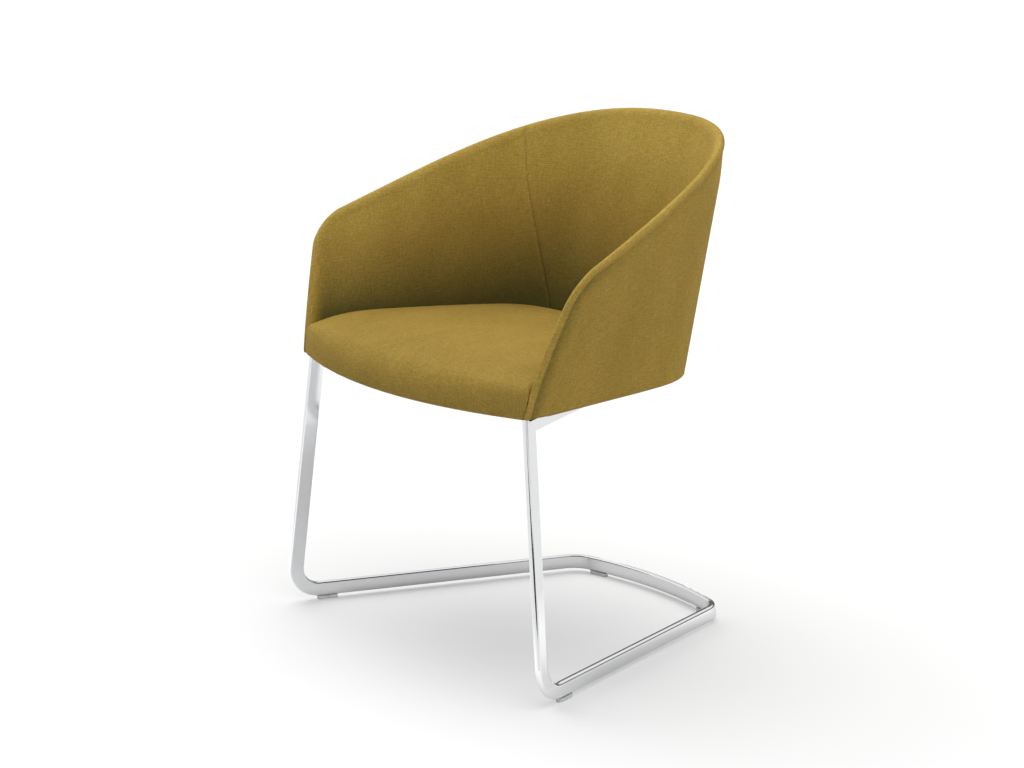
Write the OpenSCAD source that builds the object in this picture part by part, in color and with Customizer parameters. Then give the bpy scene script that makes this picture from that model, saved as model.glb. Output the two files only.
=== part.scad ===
// Cantilever tub armchair. A padded shell of bent plywood, foam and woven cloth
// stands on one bent tube of D section: two uprights, a floor loop bowed at the rear,
// and two seat rails mitred to the uprights' tops.
// The sitter faces -Y, +Z is up, the floor is z = 0 and the chair is symmetric in X.

/* [Shell] */
// Height of the rim at the middle of the back
back_h = 773.5; // [740:0.5:820]
// Height of the rim where its line meets the arm's front edge
arm_h = 608.5; // [580:0.5:640]
// Height of the shell's underside
base_z = 411.5; // [395:0.5:430]
// From the middle of the chair to the front of the seat
front_reach = 283; // [270:1:300]
// From the middle of the chair to the outside of the rim at the back
back_reach = 283; // [270:1:300]
// How far the rim's line arches above a straight slope
rim_arch = 6.5; // [0:0.5:8]
// Half width of the rim at its front corner, middle of the wall
rim_half_w = 320; // [300:1:335]
// Half width of the shell's foot at its front corner, middle of the wall
foot_half_w = 275; // [262:1:282]
// From the front of the seat back to the rim's front corner
arm_setback = 106; // [90:1:120]
// How far the seat's front bows ahead of the arms' feet
seat_bow = 50; // [40:1:65]
// From the outside of the rim at the back forward to the foot of the back
back_rake = 135; // [110:1:160]
// Length of the rounding at the arm's front top corner, along each edge
arm_corner = 42; // [35:1:60]

/* [Wall] */
// From the middle of the wall to its outer face
wall_out = 6; // [5:0.5:8]
// From the middle of the wall to its outer face well below the rim
wall_out_low = 9; // [7:0.5:11]
// From the middle of the wall to its inner face at the rim
wall_in_rim = 13; // [11:0.5:15]
// From the middle of the wall to its inner face well below the rim
wall_in_low = 18; // [15:0.5:24]
// How far below the rim the inner padding reaches its full depth
padding_run = 110; // [80:1:140]
// Thickness of the bent plywood wall
ply_t = 8; // [6:0.5:10]
// From the middle of the wall to the plywood's outer face
ply_out = 2.5; // [2:0.1:3.5]
// How far the plywood's edge stays inside the padded edge
ply_inset = 14; // [12:0.5:20]
// Thickness of the upholstery cloth with its backing
cloth_t = 1.2; // [0.8:0.1:1.6]
// Clearance between soft layers
layer_gap = 0.3; // [0.2:0.05:0.4]

/* [Seat] */
// From the shell's underside up to the seat cloth behind its front roll
seat_front_rise = 62.5; // [54:0.5:78]
// From the shell's underside up to the seat cloth at the back
seat_back_rise = 51.5; // [42:0.5:62]
// Rise of the seat's middle over its sides
seat_crown = 4; // [2:1:10]
// How far the seat's top falls towards its front edge
seat_fall = 20; // [10:1:24]
// How far behind the front edge that fall begins
seat_fall_run = 120; // [80:5:140]
// Radius of the seat's front roll
seat_roll = 26; // [18:1:28]
// How far the seat's front hangs below the shell's underside
front_drop = 2; // [0:0.5:4]
// Radius of the seat's edge along the walls
seat_edge_r = 12; // [8:1:18]
// Thickness of the seat board
board_t = 12; // [10:1:15]
// Depth of foam in front of the seat board
front_foam = 12; // [8:1:16]
// Thickness of the cloth under the seat
dust_t = 1; // [0.6:0.1:1.5]

/* [Tube] */
// Height of the tube's section, across its flat face
tube_h = 23; // [20:0.5:26]
// Thickness of the tube's section, flat face to rounded face
tube_t = 9.5; // [9:0.5:13]
// Wall of the tube
tube_wall = 2.5; // [1.5:0.1:2.6]
// Corner radius on the rounded face
round_r = 4; // [3.5:0.1:4.3]
// Corner radius on the flat face
flat_r = 2.2; // [2.1:0.1:3]

/* [Frame] */
// From the rim's half width in to the floor loop's front corner, middle of the tube
loop_inset = 3; // [-4:1:14]
// From the front of the seat back to the floor loop's front corner
loop_front_setback = 50.5; // [40:0.5:60]
// From the outside of the rim forward to the middle of the rear bar
loop_back_setback = 29; // [20:0.5:50]
// Angle at which the floor rails close in towards the rear
loop_toe = 17.7; // [14:0.1:20]
// Radius of the bowed rear bar, middle of the tube
bow_r = 615; // [500:5:900]
// Radius of the rear corners, middle of the tube
rear_bend_r = 42; // [35:1:55]
// Radius of the front bends, middle of the tube
front_bend_r = 39; // [32:1:50]
// From the shell's foot in to the uprights' tops, middle of the tube
rail_inset = 10; // [4:1:18]
// How far the uprights lean back over their height
upright_lean = 16; // [8:1:24]
// Angle at which the seat rails close in towards the rear
rail_toe = 25; // [20:0.5:28]
// How far back from the uprights the seat rails reach
rail_reach = 290; // [260:1:310]
// Width of the two cross bars
bar_w = 40; // [30:1:50]
// Thickness of the two cross bars
bar_t = 5; // [4:0.5:6]
// From the uprights' tops back to the front cross bar
front_bar_setback = 85; // [70:1:100]
// From the front cross bar back to the rear cross bar
bar_spacing = 150; // [130:1:170]

/* [Glides] */
// Height of the glides
glide_h = 5.5; // [5:0.5:9]
// Length of a glide
glide_l = 34; // [28:1:40]
// Width of a glide
glide_w = 11; // [10:0.5:12]
// From the loop's front corner back to the front glides
glide_front_run = 55; // [50:1:70]
// Angle of the rear glides about the bow's centre, from straight back
glide_rear_angle = 12; // [9:0.5:13]
// Shank radius of a glide's screw
glide_screw_r = 1.75; // [1.5:0.05:2]

/* [Fasteners] */
// Shank radius of the frame bolts
bolt_r = 3; // [2.5:0.5:4]
// Radius of a bolt's head
bolt_head_r = 5.75; // [5.5:0.05:6.5]
// Height of a bolt's head
bolt_head_h = 3.3; // [3:0.1:4]
// Radius of a washer
washer_r = 7; // [6.8:0.1:8]
// Thickness of a washer
washer_t = 1.2; // [1:0.1:1.6]
// Radius of a threaded insert's barrel
insert_r = 4.6; // [4.5:0.05:5.5]
// Radius of a threaded insert's flange
flange_r = 9; // [8:0.5:10]
// Thickness of a threaded insert's flange
flange_t = 1.5; // [1.2:0.1:2]
// Running clearance of a bolt or screw in its hole, per side
hole_gap = 0.4; // [0.3:0.05:0.5]

/* [Hidden] */
$fn = 48;

// Overrun of a cut past the faces it opens
overrun = 1;

// Plan curves of the rim and of the foot: side line, then a rounded back.
// Each is [half width, front y, depth, taper share, side power, back power].
rim_front_y = -front_reach + arm_setback;
rim_back_y = back_reach - wall_out;
foot_front_y = -front_reach + seat_bow;
foot_back_y = back_reach - back_rake;
rim_shape_shares = [0.253, 2.39, 4.0];
foot_shape_shares = [0.214, 4.78, 10.8];
rim_curve = concat([rim_half_w, rim_front_y, rim_back_y - rim_front_y], rim_shape_shares);
foot_curve = concat([foot_half_w, foot_front_y, foot_back_y - foot_front_y], foot_shape_shares);

function lerp(a, b, f) = a + (b - a) * f;
function clamp(f) = min(1, max(0, f));
function unit(p) = p / norm(p);
function smooth(f) = let (c = clamp(f)) c * c * (3 - 2 * c);
// Quarter-round: 0 at the edge, 1 once the distance equals the radius
function round_share(f) = let (c = clamp(f)) sqrt(1 - (1 - c) * (1 - c));

// A point of a plan curve at share s of its depth
function plan_at(c, s) =
    [c[0] * (1 - c[3] * s) * pow(max(0, 1 - pow(s, c[5])), 1 / c[4]), c[1] + c[2] * s];
// Shares of depth close up towards the back, where the curve turns
table_steps = 90;
function depth_share(q) = 1 - pow(1 - q, 4);
function arc_table(c) =
    [for (i = 0, a = 0, p = plan_at(c, 0); i <= table_steps; i = i + 1,
        n = plan_at(c, depth_share(min(1, i / table_steps))), a = a + norm(n - p), p = n)
        [a, i / table_steps]];
rim_table = arc_table(rim_curve);
foot_table = arc_table(foot_curve);
rim_run = rim_table[table_steps][0];
foot_run = foot_table[table_steps][0];
// A point at share t of the way round, 0 at the arm's front and 1 at the middle of the back
function along(c, table, run, t) = plan_at(c, depth_share(lookup(clamp(t) * run, table)));

// Middle surface of the wall: g runs 0 to 1 round the right half and on to 2 round
// the left, v runs 0 at the foot to 1 at the rim. The arms' fronts flare in a curve.
flare_share = 0.25;
flare_run_share = 0.4;
arch_peak_share = 4 / 27;
function rim_z(y) =
    let (t = (y - rim_front_y) / (rim_back_y - rim_front_y))
    lerp(arm_h, back_h, t) + rim_arch * t * t * (1 - t) / arch_peak_share;
function mid_pt(g, v) =
    let (t = g <= 1 ? g : 2 - g,
         side = g <= 1 ? 1 : -1,
         r = along(rim_curve, rim_table, rim_run, t),
         b = along(foot_curve, foot_table, foot_run, t),
         f = pow(max(0, v), 1 + flare_share * max(0, 1 - t / flare_run_share)))
    [side * lerp(b[0], r[0], f), lerp(b[1], r[1], f), lerp(base_z, rim_z(r[1]), v)];
// Share of the wall's height at which it has height z
function height_share(g, z) =
    let (t = g <= 1 ? g : 2 - g, r = along(rim_curve, rim_table, rim_run, t))
    (z - base_z) / (rim_z(r[1]) - base_z);
probe_share = 0.012;
function wall_normal(g, v) =
    let (low = max(0, g - probe_share),
         high = min(2, g + probe_share),
         v_low = max(0, v - probe_share),
         v_high = min(1, v + probe_share))
    unit(cross(mid_pt(high, v) - mid_pt(low, v), mid_pt(g, v_high) - mid_pt(g, v_low)));

// Distance from the padded edge (the arm's front edge, its rounded corner and the rim)
arm_front_run = norm([rim_half_w, rim_front_y, arm_h] - [foot_half_w, foot_front_y, base_z]);
corner_g_share = arm_corner / rim_run;
corner_v_share = arm_corner / arm_front_run;
function edge_distance(g, v) =
    let (t = g <= 1 ? g : 2 - g,
         p = max(0, 1 - t / corner_g_share),
         q = max(0, 1 - (1 - v) / corner_v_share))
    (p == 0 && q == 0) ? arm_corner + padding_run
        : (p == 0) ? (1 - v) * norm(mid_pt(g, 1) - mid_pt(g, 0))
        : (1 - sqrt(p * p + q * q)) * arm_corner;
// The same distance measured on past the corner's zone
function full_distance(g, v) =
    let (d = edge_distance(g, v), t = g <= 1 ? g : 2 - g)
    d > arm_corner ? min(t * rim_run, (1 - v) * norm(mid_pt(g, 1) - mid_pt(g, 0))) : d;

// Outer and inner half thickness of the padded wall, less an even inset. The roll
// of the arm's front edge grows from its foot up.
outer_run = padding_run / 2;
foot_roll_share = 0.45;
foot_roll_run_share = 0.7;
function outer_half(d, inset) =
    let (r = wall_out - inset)
    r * round_share((d - inset) / r) + (wall_out_low - wall_out) * smooth((d - wall_out) / outer_run);
function inner_half(d, v, inset) =
    let (roll = wall_in_rim * lerp(foot_roll_share, 1, smooth(v / foot_roll_run_share)),
         r = roll - inset)
    r * round_share((d - inset) / r) + (wall_in_low - roll) * smooth((d - roll / 2) / padding_run);
function wall_pt(g, v, off) = mid_pt(g, v) + off * wall_normal(g, v);
// The same, moved along the wall until it lies at height z
function level_pt(g, v, off, z) =
    let (p = wall_pt(g, v, off),
         w = v + (z - p[2]) / (mid_pt(g, 1)[2] - base_z),
         q = wall_pt(g, w, off))
    [q[0], q[1], z];

// Grid of the wall: column j starts on the padded edge and ends on the foot.
// Columns 0 to front_cols climb the arm's front, then round its corner, then follow
// the rim to the inner seam and on to the middle of the back.
front_cols = 6;
corner_cols = 5;
arm_cols = 9;
back_cols = 7;
// The column at which the bent plywood and the seat board begin
ply_start_steps = 3;
seam_col = front_cols + corner_cols + arm_cols;
half_cols = seam_col + back_cols;
// Where the seam between arm and back lies on the rim and on the foot
seam_rim_share = 0.574;
seam_foot_share = 0.79;
function edge_gv(j) =
    j <= front_cols ? [0, (1 - corner_v_share) * j / front_cols]
    : j <= front_cols + corner_cols ? let (a = 90 * (j - front_cols) / corner_cols)
        [corner_g_share * (1 - cos(a)), 1 - corner_v_share * (1 - sin(a))]
    : j <= seam_col ? [lerp(corner_g_share, seam_rim_share,
        (j - front_cols - corner_cols) / arm_cols), 1]
    : [lerp(seam_rim_share, 1, (j - seam_col) / back_cols), 1];
function foot_g(j) =
    j <= seam_col ? seam_foot_share * j / seam_col
    : lerp(seam_foot_share, 1, (j - seam_col) / back_cols);
// Past the arm's corner a column drops steeply first, then sweeps forward
seam_sweep_power = 1.6;
function sweep_power(j) =
    lerp(1, seam_sweep_power, clamp((j - front_cols - corner_cols) / arm_cols));
// Rows below the padded edge: close together round the edge, then even
edge_rows = 4;
edge_row_run = 11;
body_row_shares = [0.26, 0.44, 0.72, 1];
last_row = edge_rows + len(body_row_shares) - 1;
start_max_share = 0.2;
function row_shares(run, inset) =
    let (start = min(inset / run, start_max_share),
         room = max(body_row_shares[0], start + start_max_share / 2) - start)
    concat([for (i = [0:edge_rows - 1]) let (f = pow(i / (edge_rows - 1), 2))
            min(lerp(start, edge_row_run / run, f), start + room * i / edge_rows)],
        [start + room],
        [for (i = [1:len(body_row_shares) - 1]) body_row_shares[i]]);
// Column k counts on past the middle of the back and down the other arm. Each entry
// is [g, v, distance from the padded edge].
function grid_column(k, inset, low_z) =
    let (j = k <= half_cols ? k : 2 * half_cols - k,
         e = edge_gv(j),
         f = [foot_g(j), height_share(foot_g(j), low_z)],
         run = norm(mid_pt(e[0], e[1]) - mid_pt(f[0], f[1])))
    [for (s = row_shares(run, inset))
        let (p = [lerp(e[0], f[0], pow(s, sweep_power(j))), lerp(e[1], f[1], s)])
        [k <= half_cols ? p[0] : 2 - p[0], p[1], full_distance(p[0], p[1])]];
// One row of a column, at a distance from the middle surface; the last row is level
function row_pt(c, i, off, low_z) =
    i == last_row ? level_pt(c[i][0], c[i][1], off, low_z) : wall_pt(c[i][0], c[i][1], off);
function outer_row(c, rows, inset, low_z) =
    [for (i = rows) row_pt(c, i, outer_half(c[i][2], inset), low_z)];
function inner_row(c, rows, inset, low_z, start) =
    [for (i = rows) row_pt(c, i, -inner_half(c[i][2], c[i][1], start) + inset - start, low_z)];
function flat_row(c, rows, off, low_z) = [for (i = rows) row_pt(c, i, off, low_z)];

// A closed solid through loops of points. Quads are split along the diagonal that
// starts at their first corner, or the other one where turned. Each end is a fan
// round its middle, or the faces given.
module loft(loops, turned_points = [], turned_loops = [], end_faces = []) {
    n = len(loops[0]);
    m = len(loops);
    ones = [for (p = loops[0]) 1];
    fans = len(end_faces) == 0;
    first = [for (i = [0:2]) [for (p = loops[0]) p[i]] * ones / n];
    last = [for (i = [0:2]) [for (p = loops[m - 1]) p[i]] * ones / n];
    points = concat([for (l = loops) for (p = l) p], fans ? [first, last] : []);
    sides = [for (a = [0:m - 2]) for (i = [0:n - 1])
        let (h = (i + 1) % n,
             turned = (len(search(i, turned_points)) > 0) != (len(search(a, turned_loops)) > 0),
             q = [a * n + i, a * n + h, (a + 1) * n + h, (a + 1) * n + i])
        each turned ? [[q[0], q[1], q[3]], [q[1], q[2], q[3]]] : [[q[0], q[1], q[2]], [q[0], q[2], q[3]]]];
    ends = fans ? [for (i = [0:n - 1]) let (h = (i + 1) % n)
            each [[h, i, m * n], [(m - 1) * n + i, (m - 1) * n + h, m * n + 1]]]
        : [for (f = end_faces) each [[f[0], f[2], f[1]], [for (i = f) (m - 1) * n + i]]];
    polyhedron(points, concat(sides, ends));
}
// End faces of a strip whose loop runs along one edge and back along the other
function strip_faces(n) =
    [for (i = [0:n / 2 - 2]) each [[i, i + 1, n - 2 - i], [i, n - 2 - i, n - 1 - i]]];

// Cloth on one face of the wall, between two columns
all_rows = [0:last_row];
all_rows_back = [last_row:-1:0];
cloth_turned = [for (i = [last_row + 1:2 * last_row + 1]) i];
// Columns in falling order, with whole ones between the two ends
function cloth_columns(a, b) = concat([b], [for (k = [ceil(b) - 1:-1:floor(a) + 1]) k], [a]);
// Loops of the second half of a symmetric run of columns
function second_half(a, b) =
    let (n = len(cloth_columns(a, b)))
    [for (i = [0:n - 2]) if (2 * i < n - 1) i];
module outer_cloth(a, b, low_z) {
    loft([for (k = cloth_columns(a, b)) concat(
        outer_row(grid_column(k, 0, low_z), all_rows, 0, low_z),
        outer_row(grid_column(k, cloth_t, low_z), all_rows_back, cloth_t, low_z))],
        cloth_turned, second_half(a, b), strip_faces(2 * (last_row + 1)));
}
module inner_cloth(a, b, low_z, turned) {
    loft([for (k = cloth_columns(a, b)) concat(
        inner_row(grid_column(k, cloth_t, low_z), all_rows, cloth_t - layer_gap, low_z, cloth_t),
        inner_row(grid_column(k, 0, low_z), all_rows_back, -layer_gap, low_z, 0))],
        cloth_turned, turned, strip_faces(2 * (last_row + 1)));
}

// The seat cushion: its edge follows the wall's inner face, steps out to the outer
// cloth ahead of the arms' padding and bows across the front
seat_cols = 17;
seat_start_share = 0.006;
seat_warp_share = 0.08;
bow_warp_share = 0.15;
seat_slope_setback = 80;
seat_front_z = base_z + seat_front_rise;
seat_back_z = base_z + seat_back_rise;
board_z = base_z + dust_t + layer_gap;
board_top = board_z + board_t;
seat_fit = 2.8;
corner_fit = 0.8;
inner_start_steps = 1.3;
corner_zone_share = inner_start_steps * seam_foot_share / seam_col;
corner_zone_h = mid_pt(0, (1 - corner_v_share) * inner_start_steps / front_cols)[2] - board_top;
corner_reach_share = 0.72;
function seat_is_front(i) = i > 2 * seat_cols;
function seat_g(i) =
    let (f = i <= seat_cols ? i / seat_cols : 2 - i / seat_cols,
         g = lerp(seat_start_share, 1, f - seat_warp_share * sin(540 * f)))
    i <= seat_cols ? g : 2 - g;
function seat_wall_pt(g, z, inset) =
    let (v = height_share(g, z),
         t = g <= 1 ? g : 2 - g,
         d = full_distance(g, v),
         reach = t / corner_zone_share + max(0, z - board_top) / corner_zone_h,
         corner = smooth(2 * reach / corner_reach_share - 1))
    level_pt(g, v, -inset - lerp(corner_fit, inner_half(d, v, 0) + seat_fit, corner), z);
bow_cols = 12;
seat_count = 2 * seat_cols + bow_cols;
function seat_edge_pt(i, z, inset) =
    seat_is_front(i) ?
        let (h = (i - 2 * seat_cols) / bow_cols,
             f = h - bow_warp_share * sin(360 * h),
             a = seat_wall_pt(2, z, inset),
             b = seat_wall_pt(0, z, inset),
             p = lerp(a, b, f))
        [p[0], p[1] + inset - seat_bow * 4 * f * (1 - f), z]
    : seat_wall_pt(seat_g(i), z, inset);
function seat_top(x, y) =
    let (t = clamp((y + front_reach - seat_slope_setback) / (foot_back_y + front_reach - seat_slope_setback)),
         ahead = clamp(1 - (y + front_reach - seat_bow * pow(x / foot_half_w, 2)) / seat_fall_run))
    lerp(seat_front_z, seat_back_z, smooth(t))
        + seat_crown * (1 - pow(x / foot_half_w, 2)) * 4 * t * (1 - t)
        - seat_fall * ahead * ahead;
function seat_radius(i) =
    let (f = (i - 2 * seat_cols) / bow_cols)
    seat_is_front(i) ? lerp(seat_edge_r, seat_roll, smooth(min(f, 1 - f) / corner_blend_share))
        : seat_edge_r;
corner_blend_share = 0.3;
seat_mid_y_share = 0.45;
seat_mid = [0, lerp(-front_reach, foot_back_y, seat_mid_y_share)];
// Rings of the cushion from its crown out to its edge and down, less an even inset
top_ring_shares = [0.04, 0.42, 0.74, 0.9, 0.96, 0.99, 1];
side_ring_shares = [0.35, 0.75, 1];
under_tuck = 3;
tuck_power = 6;
function seat_low(i, deep) =
    let (f = clamp((i - 2 * seat_cols) / bow_cols))
    seat_is_front(i) ? base_z - front_drop * 4 * f * (1 - f) + deep
    : seat_g(i) < corner_zone_share || seat_g(i) > 2 - corner_zone_share ? base_z + deep
    : board_top + layer_gap;
function seat_ring(k, inset, deep) =
    let (tops = len(top_ring_shares))
    [for (i = [0:seat_count - 1])
        let (r = seat_radius(i) - inset,
             e = seat_edge_pt(i, seat_top(0, seat_mid[1]) - seat_roll, inset),
             crest = seat_top(e[0], e[1]) - inset - r)
        k < tops ?
            let (f = top_ring_shares[k],
                 p = lerp(seat_mid, [e[0], e[1]], f),
                 d = norm([e[0], e[1]] - seat_mid) * (1 - f))
            [p[0], p[1], seat_top(p[0], p[1]) - inset - r * (1 - round_share(d / r))]
        : let (f = side_ring_shares[k - tops])
            seat_edge_pt(i, lerp(crest, seat_low(i, deep), f), inset + under_tuck * pow(f, tuck_power))];
seat_rings = len(top_ring_shares) + len(side_ring_shares);

// Plate under the seat: its outline follows the wall at a distance from its middle
// surface, and the seat's front and corners at a depth inside them
plate_cols = 25;
module seat_plate(z, off, depth, thickness, corner_pts, start) {
    wall = [for (i = [0:2 * plate_cols])
        let (g = lerp(start, 2 - start, i / (2 * plate_cols)))
        level_pt(g, height_share(g, z), off, z)];
    front = [for (i = [2 * seat_cols - corner_pts:seat_count + corner_pts])
        if (i != 2 * seat_cols && i != seat_count) seat_edge_pt(i % seat_count, board_top, depth)];
    outline = concat(wall, front);
    translate([0, 0, z]) linear_extrude(thickness) polygon([for (p = outline) [p[0], p[1]]]);
}

least_corner_r = 0.3;
section_facets = 24;
bow_facets = 180;
// The tube's section: x from the flat face to the rounded face, y across it
module tube_section(inset) {
    flat = max(flat_r - inset, least_corner_r);
    round = max(round_r - inset, least_corner_r);
    half_h = tube_h / 2 - inset;
    half_t = tube_t / 2 - inset;
    translate([-half_t, -half_h + flat]) square([flat, 2 * (half_h - flat)]);
    translate([-half_t + flat, -half_h]) square([2 * half_t - flat - round, 2 * half_h]);
    translate([half_t - round, -half_h + round]) square([round, 2 * (half_h - round)]);
    for (s = [-1, 1]) {
        translate([-half_t + flat, s * (half_h - flat)]) circle(flat, $fn = section_facets);
        translate([half_t - round, s * (half_h - round)]) circle(round, $fn = section_facets);
    }
}

// Directions of the right side: floor rail, upright, outward normal of their plane
loop_half_w = rim_half_w - loop_inset;
rail_half_w = foot_half_w - rail_inset;
rail_dir = [-sin(loop_toe), cos(loop_toe), 0];
rail_out = [cos(loop_toe), sin(loop_toe), 0];
seat_rail_dir = [-sin(rail_toe), cos(rail_toe), 0];
seat_rail_out = [cos(rail_toe), sin(rail_toe), 0];
seat_rail_z = base_z - layer_gap - tube_h / 2;
loop_front_y = -front_reach + loop_front_setback;
upright_rise = seat_rail_z - glide_h - tube_h / 2;
side_out = unit(cross(rail_dir, [rail_half_w - loop_half_w, upright_lean, upright_rise]));
section_tilt = asin(side_out[2]);
// The section leans with the side, so its lowest point is on its flat face's corner
loop_z = glide_h + flat_r + (tube_h / 2 - flat_r) * cos(section_tilt)
    + (tube_t / 2 - flat_r) * sin(section_tilt);
loop_corner = [loop_half_w, loop_front_y, loop_z];
upright_top = [rail_half_w, loop_front_y + upright_lean, seat_rail_z];
upright_dir = unit(upright_top - loop_corner);
upright_len = norm(upright_top - loop_corner);
// Front bend
bend_half = acos(rail_dir * upright_dir) / 2;
bend_run = front_bend_r / tan(bend_half);
bend_centre = loop_corner + unit(rail_dir + upright_dir) * front_bend_r / sin(bend_half);
// Rear corner and bow, in plan
bow_centre = [0, back_reach - loop_back_setback - bow_r];
corner_start = [loop_corner[0], loop_corner[1]] - rear_bend_r * [rail_out[0], rail_out[1]] - bow_centre;
corner_along = corner_start * [rail_dir[0], rail_dir[1]];
rail_run = -corner_along
    + sqrt(pow(corner_along, 2) - corner_start * corner_start + pow(bow_r - rear_bend_r, 2));
corner_centre = corner_start + bow_centre + rail_run * [rail_dir[0], rail_dir[1]];
corner_angle = atan2(corner_centre[1] - bow_centre[1], corner_centre[0] - bow_centre[0]);

// Puts children in a frame given by its origin, x axis and z axis
module in_frame(origin, x_axis, z_axis) {
    y_axis = cross(z_axis, x_axis);
    multmatrix([for (i = [0:2]) [x_axis[i], y_axis[i], z_axis[i], origin[i]]]) children();
}
// One side of the tube: upright, front bend, floor rail and rear corner. Straights
// lap into the bends, whose section is drawn a hair smaller there.
weld_lap = 0.3;
bend_ease = 0.02;
module tube_side(inset, past) {
    in_frame(loop_corner + rail_dir * (bend_run - weld_lap), side_out, rail_dir)
        linear_extrude(rail_run - bend_run + 2 * weld_lap) tube_section(inset);
    in_frame(bend_centre, unit(loop_corner + rail_dir * bend_run - bend_centre), -side_out)
        rotate_extrude(angle = 180 - 2 * bend_half)
            translate([front_bend_r, 0]) rotate(-90) tube_section(inset + bend_ease);
    in_frame(loop_corner + upright_dir * (bend_run - weld_lap), side_out, upright_dir)
        linear_extrude(upright_len - bend_run + weld_lap + past) tube_section(inset);
    translate([corner_centre[0], corner_centre[1], loop_z]) rotate(loop_toe)
        rotate_extrude(angle = corner_angle - loop_toe)
            translate([rear_bend_r, 0]) rotate(section_tilt) tube_section(inset + bend_ease);
}
bow_lap = weld_lap / bow_r * 180 / PI;
module tube_path(inset, past) {
    tube_side(inset, past);
    mirror([1, 0, 0]) tube_side(inset, past);
    translate([bow_centre[0], bow_centre[1], loop_z]) rotate(corner_angle - bow_lap)
        rotate_extrude(angle = 180 - 2 * corner_angle + 2 * bow_lap, $fn = bow_facets)
            translate([bow_r, 0]) rotate(section_tilt) tube_section(inset);
}
// Half space on the seat rail's side of the mitre
mitre_size = 4 * tube_h;
mitre_dir = unit(upright_dir + seat_rail_dir);
module past_mitre() {
    in_frame(upright_top, side_out - (side_out * mitre_dir) * mitre_dir, mitre_dir)
        translate([-mitre_size / 2, -mitre_size / 2, 0]) cube(mitre_size);
}

// Places of the glides: [x, y, angle of the tube in plan], right side
glide_front = loop_corner + rail_dir * glide_front_run;
glide_rear = [bow_r * sin(glide_rear_angle), bow_centre[1] + bow_r * cos(glide_rear_angle)];
glide_places = [[glide_front[0], glide_front[1], 90 + loop_toe],
    [glide_rear[0], glide_rear[1], -glide_rear_angle],
    [-glide_rear[0], glide_rear[1], glide_rear_angle],
    [-glide_front[0], glide_front[1], 90 - loop_toe]];
module at_glides() {
    for (p = glide_places) translate([p[0], p[1], 0]) rotate(p[2]) children();
}
screw_head_r = 2 * glide_screw_r;
screw_head_h = glide_screw_r;
screw_recess = glide_h / 3;
screw_top = glide_h + 2 * tube_wall;

module cantilever_tube() {
    color("silver") difference() {
        tube_path(0, tube_h);
        tube_path(tube_wall, 2 * tube_h);
        past_mitre();
        mirror([1, 0, 0]) past_mitre();
        at_glides() cylinder(h = loop_z, r = glide_screw_r + hole_gap);
    }
}

// The right seat rail, from the mitre back under the seat
rail_end = upright_top + seat_rail_dir * rail_reach;
module seat_rail() {
    color("silver") difference() {
        in_frame(upright_top - seat_rail_dir * tube_h, seat_rail_out, seat_rail_dir)
            difference() {
                linear_extrude(rail_reach + tube_h) tube_section(0);
                translate([0, 0, -overrun]) linear_extrude(rail_reach + tube_h + 2 * overrun)
                    tube_section(tube_wall);
            }
        before_mitre();
    }
}
module before_mitre() {
    in_frame(upright_top, side_out - (side_out * mitre_dir) * mitre_dir, mitre_dir)
        translate([-mitre_size / 2, -mitre_size / 2, -mitre_size]) cube(mitre_size);
}
module seat_rail_left() { seat_rail(); }
module seat_rail_right() { mirror([1, 0, 0]) seat_rail(); }

// Cross bars fill the space between the rails' flat faces, level with their tops
front_bar_y = upright_top[1] + front_bar_setback;
rear_bar_y = front_bar_y + bar_spacing;
function rail_inner_x(y) =
    rail_half_w - (y - upright_top[1]) * tan(rail_toe) - tube_t / 2 / cos(rail_toe);
bolt_inset = 30;
function bolt_places() = [for (y = [front_bar_y, rear_bar_y]) for (s = [-1, 1])
    [s * (rail_inner_x(y) - bolt_inset), y]];
bar_top = base_z - layer_gap;
module cross_bar(y) {
    front_x = rail_inner_x(y - bar_w / 2);
    rear_x = rail_inner_x(y + bar_w / 2);
    color("silver") difference() {
        translate([0, 0, bar_top - bar_t]) linear_extrude(bar_t)
            polygon([[-front_x, y - bar_w / 2], [front_x, y - bar_w / 2],
                [rear_x, y + bar_w / 2], [-rear_x, y + bar_w / 2]]);
        for (p = bolt_places()) if (p[1] == y)
            translate([p[0], p[1], bar_top - bar_t - overrun])
                cylinder(h = bar_t + 2 * overrun, r = bolt_r + hole_gap);
    }
}
module front_cross_bar() { cross_bar(front_bar_y); }
module rear_cross_bar() { cross_bar(rear_bar_y); }

// Plastic plugs in the open rear ends of the seat rails
plug_depth = 12;
plug_face = 2.5;
plug_fit = 0.05;
module rail_end_plugs() {
    color("dimgray") for (s = [0, 1]) mirror([s, 0, 0])
        in_frame(rail_end, seat_rail_out, seat_rail_dir) {
            linear_extrude(plug_face) tube_section(0);
            translate([0, 0, -plug_depth]) linear_extrude(plug_depth)
                tube_section(tube_wall + plug_fit);
        }
}

// Clear glides: a long pad, split by a groove at its screw
groove_w = 2;
groove_depth = 1.2;
module glides() {
    color("gainsboro", 0.6) at_glides() difference() {
        linear_extrude(glide_h) {
            square([glide_l - glide_w, glide_w], center = true);
            for (s = [-1, 1]) translate([s * (glide_l - glide_w) / 2, 0]) circle(d = glide_w);
        }
        translate([0, 0, -overrun]) cylinder(h = glide_h + 2 * overrun, r = glide_screw_r + hole_gap);
        translate([0, 0, -overrun])
            cylinder(h = screw_recess + screw_head_h + overrun, r = screw_head_r + hole_gap);
        for (s = [-1, 1]) translate([-groove_w / 2, s * glide_w / 2 - groove_depth, screw_recess])
            cube([groove_w, 2 * groove_depth, glide_h]);
    }
}
module glide_screws() {
    color("darkgray") at_glides() {
        translate([0, 0, screw_recess]) cylinder(h = screw_head_h, r = screw_head_r);
        translate([0, 0, screw_recess]) cylinder(h = screw_top - screw_recess, r = glide_screw_r);
    }
}

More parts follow.
